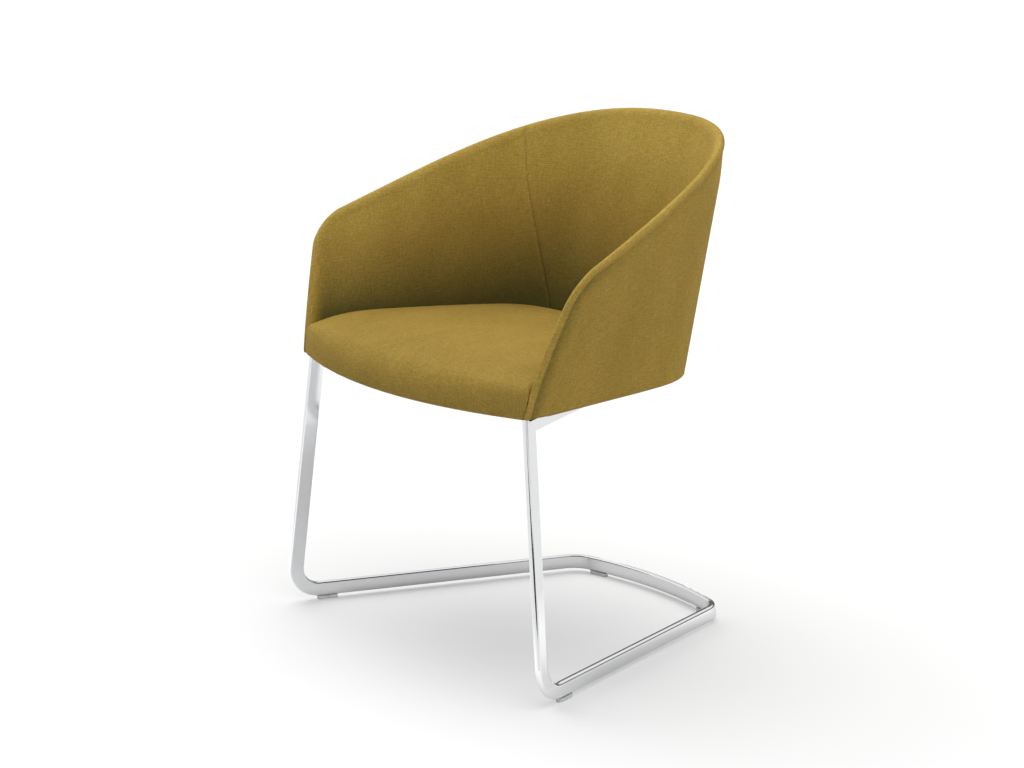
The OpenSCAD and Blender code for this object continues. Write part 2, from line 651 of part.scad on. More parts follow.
// Bolts from below through the cross bars into inserts in the seat board
module at_bolts() {
    for (p = bolt_places()) translate([p[0], p[1], 0]) children();
}
hex_share = 0.75;
bolt_seat_z = bar_top - bar_t - washer_t;
module frame_bolts() {
    color("darkgray") at_bolts() {
        difference() {
            translate([0, 0, bolt_seat_z - bolt_head_h]) cylinder(h = bolt_head_h, r = bolt_head_r);
            translate([0, 0, bolt_seat_z - bolt_head_h - overrun])
                cylinder(h = bolt_head_h / 2 + overrun, r = bolt_r * hex_share, $fn = 6);
        }
        translate([0, 0, bolt_seat_z]) cylinder(h = board_top - flange_t - bolt_seat_z, r = bolt_r);
    }
}
module bolt_washers() {
    color("darkgray") at_bolts() translate([0, 0, bolt_seat_z]) difference() {
        cylinder(h = washer_t, r = washer_r);
        translate([0, 0, -overrun]) cylinder(h = washer_t + 2 * overrun, r = bolt_r + hole_gap);
    }
}
thread_gap = 0.05;
module threaded_inserts() {
    color("lightsteelblue") at_bolts() difference() {
        union() {
            translate([0, 0, board_z]) cylinder(h = board_t, r = insert_r);
            translate([0, 0, board_top - flange_t]) cylinder(h = flange_t, r = flange_r);
        }
        translate([0, 0, board_z - overrun]) cylinder(h = board_t + 2 * overrun, r = bolt_r + thread_gap);
    }
}

board_start_share = ply_start_steps * seam_foot_share / seam_col;
module seat_board() {
    color("burlywood") difference() {
        seat_plate(board_z, ply_out - layer_gap, front_foam, board_t, 2, board_start_share);
        at_bolts() {
            translate([0, 0, board_z - overrun])
                cylinder(h = board_t + 2 * overrun, r = insert_r + thread_gap);
            translate([0, 0, board_top - flange_t])
                cylinder(h = flange_t + overrun, r = flange_r + thread_gap);
        }
    }
}
dust_start_share = 0.075;
module dust_cover() {
    color("dimgray") difference() {
        seat_plate(base_z, wall_out - layer_gap, front_foam, dust_t, 1, dust_start_share);
        at_bolts() translate([0, 0, base_z - overrun])
            cylinder(h = dust_t + 2 * overrun, r = bolt_r + hole_gap);
    }
}

// Bent plywood wall, standing on the seat board
ply_rows = [0, 4, 5, 6, 7];
ply_rows_back = [7, 6, 5, 4, 0];
module tub_plywood() {
    color("burlywood")
        loft([for (k = [2 * half_cols - ply_start_steps:-1:ply_start_steps])
            let (c = grid_column(k, ply_inset, board_top))
            concat(flat_row(c, ply_rows, ply_out, board_top),
                flat_row(c, ply_rows_back, ply_out - ply_t, board_top))],
            [for (i = [len(ply_rows):2 * len(ply_rows) - 1]) i],
            [for (i = [0:half_cols - ply_start_steps - 1]) i], strip_faces(2 * len(ply_rows)));
}

// Moulded foam over both faces and the edge of the plywood, with a slot for it
foam_rows = [0, 2, 3, 4, 5, 6, 7];
foam_rows_back = [7, 6, 5, 4, 3, 2];
foam_start_steps = inner_start_steps + 0.1;
slot_clear = 3 * layer_gap;
// The slot closes up ahead of the plywood's ends
closed_slot_share = 0.2;
function slot_width_share(k) = min(k, 2 * half_cols - k) < ply_start_steps ? closed_slot_share : 1;
module tub_foam() {
    inner_inset = cloth_t + layer_gap;
    outer_inset = cloth_t + 2 * layer_gap;
    low = board_z;
    high = board_top + layer_gap;
    n = len(foam_rows);
    m = len(ply_rows);
    color("cornsilk")
        loft([for (k = cloth_columns(foam_start_steps, 2 * half_cols - foam_start_steps))
            let (slot = grid_column(k, ply_inset - slot_clear, board_top),
                 width = (ply_t + 2 * slot_clear) * slot_width_share(k),
                 middle = ply_out - ply_t / 2)
            concat(outer_row(grid_column(k, outer_inset, low), foam_rows, outer_inset, low),
                flat_row(slot, ply_rows_back, middle + width / 2, high),
                flat_row(slot, ply_rows, middle - width / 2, high),
                inner_row(grid_column(k, inner_inset, high), foam_rows_back, inner_inset, high,
                    inner_inset))],
            concat([for (i = [0:m - 1]) n + i], [for (i = [0:len(foam_rows_back) - 1]) n + 2 * m + i]),
            second_half(foam_start_steps, 2 * half_cols - foam_start_steps),
            concat(leg_faces(1, n - 2, n + m - 1), leg_faces(n + m, m - 1, n + 3 * m - 1), foam_top_faces));
}
// End faces of one leg of the foam: pairs of points from its top down
function leg_faces(a, count, b) =
    [for (i = [0:count - 1]) each [[a + i, a + i + 1, b - i], [a + i + 1, b - i - 1, b - i]]];
foam_top_faces = [[0, 1, 11], [0, 11, 12], [0, 12, 21], [0, 21, 22]];

function lip_pt(i, z, inset) =
    let (p = seat_edge_pt(i, board_top, inset))
    [p[0], p[1], z];
module seat_foam() {
    inset = cloth_t + 2 * layer_gap;
    lip = front_foam - layer_gap;
    color("cornsilk")
        loft(concat([for (k = [0:seat_rings - 1]) seat_ring(k, inset, inset)],
            [[for (c = [0:seat_count - 1]) lip_pt(c, seat_low(c, inset), lip)],
            [for (c = [0:seat_count - 1]) lip_pt(c, board_top + layer_gap, lip)]]));
}

module seat_cover() {
    color([0.62, 0.52, 0.22])
        loft(concat([for (k = [0:seat_rings - 1]) seat_ring(k, 0, 0)],
            [for (k = [seat_rings - 1:-1:0]) seat_ring(k, cloth_t, 0)]),
            [], [for (k = [seat_rings:2 * seat_rings - 1]) k]);
}

cloth_start = 0.1;
seam_gap_cols = 0.01;
module outer_cover() {
    color([0.58, 0.47, 0.2]) outer_cloth(cloth_start, 2 * half_cols - cloth_start, base_z);
}
module inner_back_cover() {
    color([0.55, 0.46, 0.2])
        inner_cloth(seam_col + seam_gap_cols, 2 * half_cols - seam_col - seam_gap_cols, board_top + layer_gap,
            second_half(seam_col, 2 * half_cols - seam_col));
}
module inner_arm_cover() {
    color([0.6, 0.5, 0.22])
        inner_cloth(inner_start_steps, seam_col - seam_gap_cols, board_top + layer_gap, []);
}
module inner_arm_cover_left() { inner_arm_cover(); }
module inner_arm_cover_right() { mirror([1, 0, 0]) inner_arm_cover(); }

cantilever_tube();
seat_rail_left();
seat_rail_right();
front_cross_bar();
rear_cross_bar();
rail_end_plugs();
glides();
glide_screws();
frame_bolts();
bolt_washers();
threaded_inserts();
seat_board();
dust_cover();
tub_plywood();
tub_foam();
seat_foam();
seat_cover();
outer_cover();
inner_back_cover();
inner_arm_cover_left();
inner_arm_cover_right();
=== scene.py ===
# %% [markdown]
# A tub armchair on a cantilever frame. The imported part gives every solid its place,
# and this script dresses it: upholstered pieces are modelled anew around the plywood,
# metal and plastic pieces keep their CAD meshes and get finishes. Blender counts in
# metres, and MM turns millimetres into them.

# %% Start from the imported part
import math

import bmesh
import bpy
import numpy as np
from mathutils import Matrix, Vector


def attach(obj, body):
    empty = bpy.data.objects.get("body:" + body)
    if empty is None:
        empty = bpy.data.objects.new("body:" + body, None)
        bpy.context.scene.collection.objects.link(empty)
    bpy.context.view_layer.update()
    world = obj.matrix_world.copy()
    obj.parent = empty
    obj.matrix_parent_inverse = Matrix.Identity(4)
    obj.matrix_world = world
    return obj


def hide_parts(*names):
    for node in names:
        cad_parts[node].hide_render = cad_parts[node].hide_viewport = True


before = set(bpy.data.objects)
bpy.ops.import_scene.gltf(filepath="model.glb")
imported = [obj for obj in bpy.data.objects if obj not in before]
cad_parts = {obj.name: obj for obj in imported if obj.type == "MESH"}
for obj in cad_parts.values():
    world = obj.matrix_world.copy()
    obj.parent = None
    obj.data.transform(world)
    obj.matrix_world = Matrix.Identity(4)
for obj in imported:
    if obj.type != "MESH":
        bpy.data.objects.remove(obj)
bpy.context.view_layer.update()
MM = 0.001

# %% [markdown]
# The camera stands to the front right of the chair, a little above the arms, with a
# long lens, so that upright lines stay nearly parallel. Its distance and its aim come
# from fitting the frame's corners and the shell's rim to the picture's proportions.

# %% Camera
CAMERA_PLACE = Vector((3131.6, -2482.9, 1318.3)) * MM
CAMERA_AIM = Vector((-99.37, 39.0, 354.63)) * MM
LENS, SENSOR = 94.995, 36.0  # millimetres, as on a real camera
SHIFT = (-0.0009, 0.0007)  # nudges the picture, in shares of its width

camera_data = bpy.data.cameras.new("photo_camera")
camera_data.lens = LENS
camera_data.sensor_width = SENSOR
camera_data.shift_x, camera_data.shift_y = SHIFT
camera = bpy.data.objects.new("photo_camera", camera_data)
camera.location = CAMERA_PLACE
camera.rotation_euler = (CAMERA_AIM - CAMERA_PLACE).to_track_quat("-Z", "Y").to_euler()
bpy.context.scene.collection.objects.link(camera)
bpy.context.scene.camera = camera
bpy.context.scene.view_settings.view_transform = "Standard"
print("camera", round((CAMERA_AIM - CAMERA_PLACE).length, 3), "m from its aim")

# %% [markdown]
# The shell's wall is one thin curved surface with padding on both faces. Its middle
# surface runs between two plan curves, the rim and the foot: straight sides that close
# into a rounded back. These are the sizes of the part's source, in millimetres. Only
# the inner cloth's roll over the crest is drawn tighter here than in the solids.

# %% Sizes of the shell
BACK_H, ARM_H, BASE_Z = 773.5, 608.5, 411.5  # rim at the back and at the arms, underside
FRONT_REACH, BACK_REACH = 283.0, 283.0  # from the middle of the chair
RIM_HALF_W, FOOT_HALF_W = 320.0, 275.0  # at their front corners
ARM_SETBACK = 106.0  # from the front of the seat back to the rim's front corner
ARM_CORNER = 42.0  # rounding of that corner, along each edge
RIM_ARCH = 6.5  # how far the rim's line arches above a straight slope
SEAT_BOW = 50.0  # how far the seat's front bows ahead of the arms' feet
BACK_RAKE = 135.0  # from the outside of the rim forward to the foot of the back
WALL_OUT, WALL_OUT_LOW = 6.0, 9.0  # padding outside, at the crest and well below it
WALL_IN_RIM, WALL_IN_LOW = 13.0, 18.0  # padding inside
PADDING_RUN = 110.0  # how far below the rim the padding reaches its full depth
INNER_ROLL = 27.0  # the inner cloth turns over the crest in this distance
FRONT_ROLL = 0.4  # share of that, and of its height, at the arm's front
ROLL_GROWS = 0.42  # share of the way round at which the roll is full
PLY_OUT, PLY_T = 2.5, 8.0  # the plywood's outer face from the middle of the wall, thickness
BOARD_TOP = BASE_Z + 13.3

RIM_Y = (-FRONT_REACH + ARM_SETBACK, BACK_REACH - WALL_OUT)
FOOT_Y = (-FRONT_REACH + SEAT_BOW, BACK_REACH - BACK_RAKE)
# half width, front and rear, taper to the rear, and how square its sides and back are
RIM_CURVE = (RIM_HALF_W, RIM_Y, 0.253, 2.39, 4.0)
FOOT_CURVE = (FOOT_HALF_W, FOOT_Y, 0.214, 4.78, 10.8)


def smooth(f):
    """An S curve from 0 to 1."""
    c = np.clip(f, 0, 1)
    return c * c * (3 - 2 * c)


def mix(a, b, f):
    return a + (b - a) * f


print("rim", RIM_Y[1] - RIM_Y[0], "mm deep, foot", FOOT_Y[1] - FOOT_Y[0])

# %% [markdown]
# A plan curve is measured once at many points, so that a share of its length can be
# looked up. The wall then has two coordinates: g goes round it, 0 at the right arm's
# front and 2 at the left arm's, and v climbs it, 0 at the foot and 1 at the rim. Both
# halves of the chair are alike, so most sizes read g folded over at the back's middle.

# %% The middle surface of the wall
PLAN_POINTS = 721
ARCH_PEAK_SHARE = 4 / 27  # the rim's arch is highest at two thirds of its depth
FLARE_SHARE = 0.25  # the arm's front edge flares out towards the rim
FLARE_RUN_SHARE = 0.4  # and that flare dies away along the arm
NORMAL_STEP = 0.012


def plan_at(curve, share):
    """Right-hand half of a plan curve, at a share of its depth."""
    half, (front, rear), taper, side_power, back_power = curve
    x = half * (1 - taper * share) * np.maximum(0, 1 - share ** back_power) ** (1 / side_power)
    return x, front + (rear - front) * share


def traced(curve):
    """The curve with its running length; points crowd at the back."""
    share = 1 - (1 - np.linspace(0, 1, PLAN_POINTS)) ** 4
    x, y = plan_at(curve, share)
    run = np.concatenate([[0], np.cumsum(np.hypot(np.diff(x), np.diff(y)))])
    return curve, run, share


RIM, FOOT = traced(RIM_CURVE), traced(FOOT_CURVE)
RIM_RUN, FOOT_RUN = RIM[1][-1], FOOT[1][-1]


def along(line, t):
    """A point at a share of a traced curve's length."""
    curve, run, share = line
    return plan_at(curve, np.interp(np.clip(t, 0, 1) * run[-1], run, share))


def rim_z(y):
    t = (y - RIM_Y[0]) / (RIM_Y[1] - RIM_Y[0])
    return mix(ARM_H, BACK_H, t) + RIM_ARCH * t * t * (1 - t) / ARCH_PEAK_SHARE


def folded(g):
    """0 at either arm's front, 1 at the middle of the back."""
    return np.where(g <= 1, g, 2 - g)


def middle(g, v):
    """A point of the middle surface, in millimetres."""
    t = folded(g)
    rx, ry = along(RIM, t)
    fx, fy = along(FOOT, t)
    f = np.maximum(0, v) ** (1 + FLARE_SHARE * np.maximum(0, 1 - t / FLARE_RUN_SHARE))
    side = np.where(g <= 1, 1.0, -1.0)
    return np.stack([side * mix(fx, rx, f), mix(fy, ry, f), mix(BASE_Z, rim_z(ry), v)], -1)


def height_share(g, z):
    ry = along(RIM, folded(g))[1]
    return (z - BASE_Z) / (rim_z(ry) - BASE_Z)


def full_height(g):
    return np.linalg.norm(middle(g, np.ones_like(g)) - middle(g, np.zeros_like(g)), axis=-1)


def outward(g, v):
    """Unit normal of the middle surface, away from the sitter."""
    e = NORMAL_STEP
    round_it = middle(np.minimum(2, g + e), v) - middle(np.maximum(0, g - e), v)
    up_it = middle(g, np.minimum(1, v + e)) - middle(g, np.maximum(0, v - e))
    n = np.cross(round_it, up_it)
    return n / np.linalg.norm(n, axis=-1, keepdims=True)


def wall(g, v, off):
    """A point off the middle surface, outwards where off is positive."""
    return middle(g, v) + outward(g, v) * off[..., None]


print("rim", round(RIM_RUN * 2), "mm round, foot", round(FOOT_RUN * 2), "mm round")

# %% [markdown]
# Padding thins to nothing at the wall's free edge: up the arm's front, round its
# corner and along the rim. So every thickness depends on the distance from that edge.
# Where two edges are about as near, the distance is blended, or a crease would show.

# %% Distance from the free edge, and the padding's thickness there
FRONT_RUN = math.dist((RIM_HALF_W, RIM_Y[0], ARM_H), (FOOT_HALF_W, FOOT_Y[0], BASE_Z))
CORNER_G, CORNER_V = ARM_CORNER / RIM_RUN, ARM_CORNER / FRONT_RUN
BLEND_LEAST, BLEND_MOST = 0.01, 60.0


def edge_distance(g, v):
    t = folded(g)
    from_front, from_rim = t * RIM_RUN, (1 - v) * full_height(t)
    near, far = np.minimum(from_front, from_rim), np.maximum(from_front, from_rim)
    blend = np.clip(near - ARM_CORNER, BLEND_LEAST, BLEND_MOST)
    dip = np.maximum(0, 1 - (far - near) / blend)
    straight = near - dip * dip * blend / 4
    p, q = np.maximum(0, 1 - t / CORNER_G), np.maximum(0, 1 - (1 - v) / CORNER_V)
    corner = (1 - np.hypot(p, q)) * ARM_CORNER
    return np.where((p > 0) & (q > 0), corner, straight)


def rounded(d, reach, high=None):
    """Height at distance d of a quarter circle, or of a quarter ellipse if high is given."""
    return (reach if high is None else high) * np.sqrt(1 - (1 - np.clip(d / reach, 0, 1)) ** 2)


def outer_depth(d):
    grown = smooth((d - WALL_OUT) / (PADDING_RUN / 2))
    return rounded(d, WALL_OUT) + (WALL_OUT_LOW - WALL_OUT) * grown


def roll_reach(g):
    """The inner cloth's roll is tight at the arm's front and grows wide along the rim."""
    return INNER_ROLL * mix(FRONT_ROLL, 1.0, smooth(folded(g) / ROLL_GROWS))


def inner_depth(d, g):
    roll = WALL_IN_RIM * roll_reach(g) / INNER_ROLL
    return rounded(d, roll_reach(g), roll) + (WALL_IN_LOW - roll) * smooth((d - roll / 2) / PADDING_RUN)


print("full padding", outer_depth(PADDING_RUN), "mm outside,", WALL_IN_LOW, "mm inside")

# %% [markdown]
# Columns of the pattern fan out from the free edge to the foot, as an upholsterer's
# panels do. Column 0 is the foot of the arm's front, 6 to 11 round its corner, 20 is
# the seam between arm and back, and 27 the middle of the back. The left half of the
# chair has the same columns again, counted on to 54.

# %% Columns from the free edge to the foot
SEAM, MIDDLE, CORNER = 20, 27, (6, 11)
CREST_SEAM = 13.0  # from the crest down the outside to the seam
FOOT_PAST_SEAM = 0.4  # the foot of column 0 lies this far behind that seam
SEAM_RIM, SEAM_FOOT = 0.574, 0.79  # where the arm's seam meets the rim and the foot
SWEEP = 1.6  # how strongly that seam sweeps back on its way down
STRIP_MOST = 0.6  # the crest's strip takes no more than this share of a column


def counted(k):
    """Columns counted from the nearer arm's front."""
    return np.where(k <= MIDDLE, k, 2 * MIDDLE - k)


def turn_of(k):
    """Angle of the free edge on column k: 0 up the arm's front, a right angle along the rim."""
    return np.radians(90 * np.clip((counted(k) - CORNER[0]) / (CORNER[1] - CORNER[0]), 0, 1))


def column_ends(k):
    """Both ends of a column: g and v at the free edge, g at the foot, and its sweep."""
    j, a = counted(k), turn_of(k)
    on_arm = mix(CORNER_G, SEAM_RIM, (j - CORNER[1]) / (SEAM - CORNER[1]))
    on_back = mix(SEAM_RIM, 1.0, (j - SEAM) / (MIDDLE - SEAM))
    top_g = np.select([j <= CORNER[0], j <= CORNER[1], j <= SEAM],
                      [0 * j, CORNER_G * (1 - np.cos(a)), on_arm], on_back)
    top_v = np.select([j <= CORNER[0], j <= CORNER[1]],
                      [(1 - CORNER_V) * j / CORNER[0], 1 - CORNER_V * (1 - np.sin(a))], 1.0)
    foot_back = mix(SEAM_FOOT, 1.0, (j - SEAM) / (MIDDLE - SEAM))
    foot_g = np.where(j <= SEAM, SEAM_FOOT * j / SEAM, foot_back)
    first = (CREST_SEAM + FOOT_PAST_SEAM) / RIM_RUN * (1 - smooth(j / CORNER[0]))
    power = mix(1.0, SWEEP, np.clip((j - CORNER[1]) / (SEAM - CORNER[1]), 0, 1))
    return top_g, top_v, np.hypot(foot_g, first), power


def on_column(k, share, low_z):
    """Wall coordinates at a share of the way down column k, whose foot is at low_z."""
    top_g, top_v, foot_g, power = column_ends(k)
    g = mix(top_g, foot_g, share ** power)
    v = mix(top_v, height_share(foot_g, low_z), share)
    return np.where(k <= MIDDLE, g, 2 - g), v


def column_run(k, low_z):
    top_g, top_v, foot_g, power = column_ends(k)
    top, foot = middle(top_g, top_v + 0 * top_g), middle(foot_g, height_share(foot_g, low_z))
    return np.linalg.norm(top - foot, axis=-1)


def strip(k, d):
    """Wall coordinates on column k at distance d from the free edge, straight in from it."""
    top_g, top_v, foot_g, power = column_ends(k)
    j, a, share = counted(k), turn_of(k), 1 - d / ARM_CORNER
    g = np.where(j <= CORNER[1], CORNER_G * (1 - share * np.cos(a)), top_g)
    v = np.select([j <= CORNER[0], j <= CORNER[1]],
                  [top_v, 1 - CORNER_V * (1 - share * np.sin(a))], 1 - d / full_height(top_g))
    return np.where(k <= MIDDLE, g, 2 - g), v


def body(k, share, low_z):
    """Wall coordinates on column k, from the crest's strip (0) to the foot (1)."""
    start = np.minimum(CREST_SEAM / column_run(k, low_z), STRIP_MOST)
    g, v = on_column(k, mix(start, 1.0, share), low_z)
    top, edge = on_column(k, start, low_z), strip(k, CREST_SEAM)
    fade = (1 - share) ** 2
    return g + (edge[0] - top[0]) * fade, v + (edge[1] - top[1]) * fade


print("column lengths", np.round(column_run(np.array([1.0, 6, 11, 20, 27]), BASE_Z)))

# %% [markdown]
# Each upholstered panel is a closed pad. A flat grid from bmesh is laid on the wall:
# its long side follows the columns, its short side runs over the visible face and back
# along the hidden one beside the plywood. The loop is welded where it closes, and the
# two ends are filled, so the cloth has real thickness at every seam.
#
# The threads need coordinates that follow the surface, so each grid carries a UV map
# in metres. One more number for each point is painted into the colour: painted shade
# above 0, painted light below 0.

# %% A grid laid on given points
WELD = 2e-6  # metres


def laid_grid(name, points, threads, painted_shade):
    """points is rows x columns x 3, in millimetres; threads has two metres for each point."""
    rows, columns = points.shape[:2]
    bm = bmesh.new()
    bmesh.ops.create_grid(bm, x_segments=columns - 1, y_segments=rows - 1, size=1.0)
    uv = bm.loops.layers.uv.new("threads")
    # each point's painted shade (above 0) and painted light (below 0)
    painted_shade_layer = bm.verts.layers.float.new("painted_shade")
    places = []
    for v in bm.verts:
        row = round((v.co.y + 1) / 2 * (rows - 1))
        column = round((v.co.x + 1) / 2 * (columns - 1))
        places.append((row, column))
    for face in bm.faces:
        for loop in face.loops:
            loop[uv].uv = threads[places[loop.vert.index]]
    for v, place in zip(bm.verts, places):
        v.co = Vector(points[place]) * MM
        v[painted_shade_layer] = painted_shade[place]
    bmesh.ops.remove_doubles(bm, verts=bm.verts, dist=WELD)
    open_edges = [e for e in bm.edges if e.is_boundary]
    ends = bmesh.ops.holes_fill(bm, edges=open_edges, sides=0)["faces"]
    bmesh.ops.triangulate(bm, faces=ends, ngon_method="EAR_CLIP")
    bmesh.ops.recalc_face_normals(bm, faces=bm.faces)
    mesh = bpy.data.meshes.new(name)
    bm.to_mesh(mesh)
    bm.free()
    mesh.shade_smooth()
    piece = bpy.data.objects.new(name, mesh)
    bpy.context.scene.collection.objects.link(piece)
    print(name, rows, "rows of", columns, "points,", len(mesh.polygons), "faces")
    return piece

# %% [markdown]
# The inner cloth doesn't stop at the crest. It rolls over the edge and meets the outer
# panel a finger's width down the outside, where the seam pulls both into a soft
# valley. The arm's corner seams pull the inner cloth in a little too, more sharply.

# %% Where the seams lie and how far they pull
VALLEY_DEPTH, VALLEY_UP, VALLEY_DOWN = 2.9, 6.5, 11.0  # its reach to the crest, and down
ROLL_PROUD = 1.5  # the crest's roll stands out from the panel below it
SEAM_EDGE = 0.5  # rounding where the cloth turns into a seam
VALLEY_BACK = 0.2  # share of the valley's depth that is left along the rim
CORNER_PULL, CORNER_PULL_REACH = 1.5, 2.2  # depth of the corner seams, reach to each side
COLUMN_W = 26.0  # between two columns near those seams
FOOT_TURN, FOOT_CORNER = 5.0, 5.0  # rounding of the underside, and of the arm's lower corner
END_TAPER, END_SHARE = 14.0, 0.3  # length and share to which the roll thins at its foot
FRONT_STEP = (1 - CORNER_V) * FRONT_RUN / CORNER[0]
SEAM_ANGLES = [90, 62, 36, 15]  # rows round the cloth's turn into the crest seam


def bell(f):
    """1 at zero, fading to both sides."""
    return np.exp(-f ** 2)


def valley(d):
    return bell((d - CREST_SEAM) / np.where(d < CREST_SEAM, VALLEY_UP, VALLEY_DOWN))


def along_arm(k):
    """1 up the arm's front and round its corner, less along the rim, which lies smoother."""
    return mix(1.0, VALLEY_BACK, smooth((counted(k) - 9.5) / 4))


def end_round(k):
    """The roll's lower end, on the shell's underside, is rounded off."""
    return mix(END_SHARE, 1.0, rounded(counted(k) * FRONT_STEP, END_TAPER, 1.0))


def crest_off(k, d):
    """The outer face of the crest's roll and of the panel below it."""
    roll = ROLL_PROUD * np.sin(np.pi * np.clip(d / CREST_SEAM, 0, 1)) ** 2
    return (outer_depth(d) + (roll - VALLEY_DEPTH * valley(d)) * along_arm(k)) * end_round(k)


def corner_lifted(points, g):
    """Rounds the arm's lower front corner, which would stick out as a sharp point."""
    low = 1 - smooth((points[..., 2] - BASE_Z) / (3 * FOOT_CORNER))
    points[..., 2] += (FOOT_CORNER - rounded(folded(g) * RIM_RUN, FOOT_CORNER)) * low
    return points


print("columns lie", round(FRONT_STEP, 1), "mm apart up the arm's front")

# %% [markdown]
# A panel is a stack of rows. Each point of a row has a place on the wall and an offset
# from the middle surface. At the arm's foot the inner padding thins to a quarter, to
# leave room for the seat's front corner.

# %% Rows of a panel
ZONE_COLUMNS = 1.3  # the seat's corner takes this many columns of the arm
ZONE_G = ZONE_COLUMNS * SEAM_FOOT / SEAM
ZONE_H = (1 - CORNER_V) * ZONE_COLUMNS / CORNER[0] * (ARM_H - BASE_Z) - (BOARD_TOP - BASE_Z)
ZONE_THIN = 0.25  # share of the inner padding that is left in it


def zone_reach(g, z):
    """0 at the arm's foot, 1 where the seat's corner ends."""
    return folded(g) / ZONE_G + np.maximum(0, z - BOARD_TOP) / ZONE_H


def thinned(g, v):
    z = middle(g, v)[..., 2]
    return mix(ZONE_THIN, 1.0, smooth((zone_reach(g, z) - 0.4) / 0.55))


class Rows:
    """Rows of a panel, one after another across the cloth."""

    def __init__(self):
        self.g, self.v, self.off, self.level = [], [], [], []

    def add(self, place, off, level=None):
        """place is g and v; level is the row's exact height, if it has one."""
        self.g.append(place[0])
        self.v.append(place[1])
        self.off.append(off + 0 * place[0])
        self.level.append(level)

    def closed(self):
        """g, v and points of all rows, and the first row again."""
        g, v, off = (np.array(rows + rows[:1]) for rows in (self.g, self.v, self.off))
        points = wall(g, v, off)
        for row, z in enumerate(self.level):
            if z is not None:
                points[row, :, 2] = z
        return g, v, corner_lifted(points, g)


print("the seat's corner reaches", round(ZONE_H), "mm up the arm")

# %% [markdown]
# Rows crowd together where the surface turns fast: round the crest and at the seam.
# Round the crest they are spaced by angle, so the roll stays round with few faces.

# %% The inner panel's rows
BACK_OF_INNER = PLY_OUT - PLY_T - 0.4  # its hidden face lies on the plywood
SEAM_TUCK = 2.0  # the cloth's end is tucked in this deep at the seam
FOOT_GAP = 0.2  # clearance at the shell's underside and on the seat board
ROLL_ROWS = (11.2, 10.2, 9.0, 7.8, 6.8)  # flank of the roll, from the crest down
PULL_FADE = 8.0  # a corner seam starts its pull this far from the crest


def inner_rows(k, seam_columns):
    """From the seam outside, over the crest, down inside and back up behind."""
    rows = Rows()
    low_z = BASE_Z + FOOT_GAP + (BOARD_TOP + FOOT_GAP - BASE_Z) * smooth(counted(k) / 1.5)
    pull = np.zeros_like(k)
    for seam in seam_columns:
        apart = np.abs(k - seam) * COLUMN_W
        pull = np.maximum(pull, CORNER_PULL * np.exp(-(apart / CORNER_PULL_REACH) ** 1.5))

    def seen(place):
        d = edge_distance(*place)
        return -thinned(*place) * (inner_depth(d, place[0]) - pull * smooth(d / PULL_FADE))

    def behind(place):
        depth = inner_depth(edge_distance(*place), place[0])
        return np.maximum(BACK_OF_INNER, -0.8 * depth * thinned(*place))

    rows.add(strip(k, CREST_SEAM), crest_off(k, CREST_SEAM) - SEAM_TUCK)
    for a in np.radians(SEAM_ANGLES + [0]):
        d = CREST_SEAM - SEAM_EDGE * (1 - np.sin(a))
        rows.add(strip(k, d), crest_off(k, d) - SEAM_EDGE * (1 - np.cos(a)))
    for d in ROLL_ROWS:
        rows.add(strip(k, d), crest_off(k, d))
    for a in np.radians(np.linspace(90, 10, 9)):
        d = WALL_OUT * (1 - np.cos(a))
        rows.add(strip(k, d), crest_off(k, d))
    crest = len(rows.g)
    for a in np.linspace(0, np.arccos(1 - CREST_SEAM / INNER_ROLL), 13):
        place = strip(k, INNER_ROLL * (1 - np.cos(a)))
        rows.add(place, seen(place))
    inside = len(rows.g)
    for f in np.linspace(0, 1, 38)[1:] ** 1.35:
        place = body(k, f, low_z)
        rows.add(place, seen(place))
    for f in (1.0, 0.75, 0.5, 0.3, 0.12):
        place = body(k, f, low_z)
        rows.add(place, behind(place))
    place = strip(k, CREST_SEAM + 0.2)
    for off in (behind(place), -0.6, 0.5):
        rows.add(place, off)
    return rows, crest, inside


print("rows of an inner panel", len(inner_rows(np.array([0.0]), [])[0].g))

# %% [markdown]
# A cover is cut so that its threads run level round the shell and straight up it. Over
# the crest they carry on without a jump, so there the map is measured along the cloth.

# %% Threads of the panels
CLOTH_RUN = (RIM_RUN + FOOT_RUN) / 2


def threads_at(g, v):
    """Metres round the shell and up it."""
    return np.stack([g * CLOTH_RUN, middle(g, v)[..., 2]], -1) * MM


def inner_threads(k, g, v, points, inside):
    threads = threads_at(g, v)
    step = np.linalg.norm(np.diff(points, axis=0), axis=-1)
    run = np.concatenate([[0 * k], np.cumsum(step, axis=0)])
    side, a = np.where(k <= MIDDLE, 1.0, -1.0), turn_of(k)
    way = np.stack([side * np.cos(a), -np.sin(a)], -1)
    back = (run[inside - 1] - run[:inside])[..., None] * MM
    threads[:inside] = threads[inside - 1] - back * way
    return threads


print("threads run", round(2 * CLOTH_RUN), "mm round the shell")

# %% [markdown]
# The soft lights alone hardly darken the hollows or lighten the upper wall enough, so
# each point carries painted shade and light: above 0 the cloth is painted darker there,
# below 0 painted lighter.

# %% The inner panel's painted shade and light
VALLEY_SHADE = 0.56  # painted shade in the valley of the crest seam
SEAT_LINE = BOARD_TOP + 45  # about where the seat's cloth meets the wall
BACK_FROM, BACK_OVER = 0.3, 0.35  # where round the shell the arm gives way to the back
LIT_ARM, LIT_BACK, LIT_RIM = 0.16, 0.62, 0.2  # painted light on the upper wall, more on the back than on the arms, and on the rim
CORNER_DARK = 0.14  # painted shade in the hollow between arm and back
CORNER_AT, CORNER_REACH = (0.66, 0.4), (0.12, 0.35)  # there, in g and in share of height
CREST_LIGHT, OUTSIDE_LIGHT = (0.3, 0.5), 0.2  # painted highlight on the crest, low and high, and painted light on its outer flank


def valley_painted_shade(k, d):
    return VALLEY_SHADE * valley(d) ** 0.6 * along_arm(k)


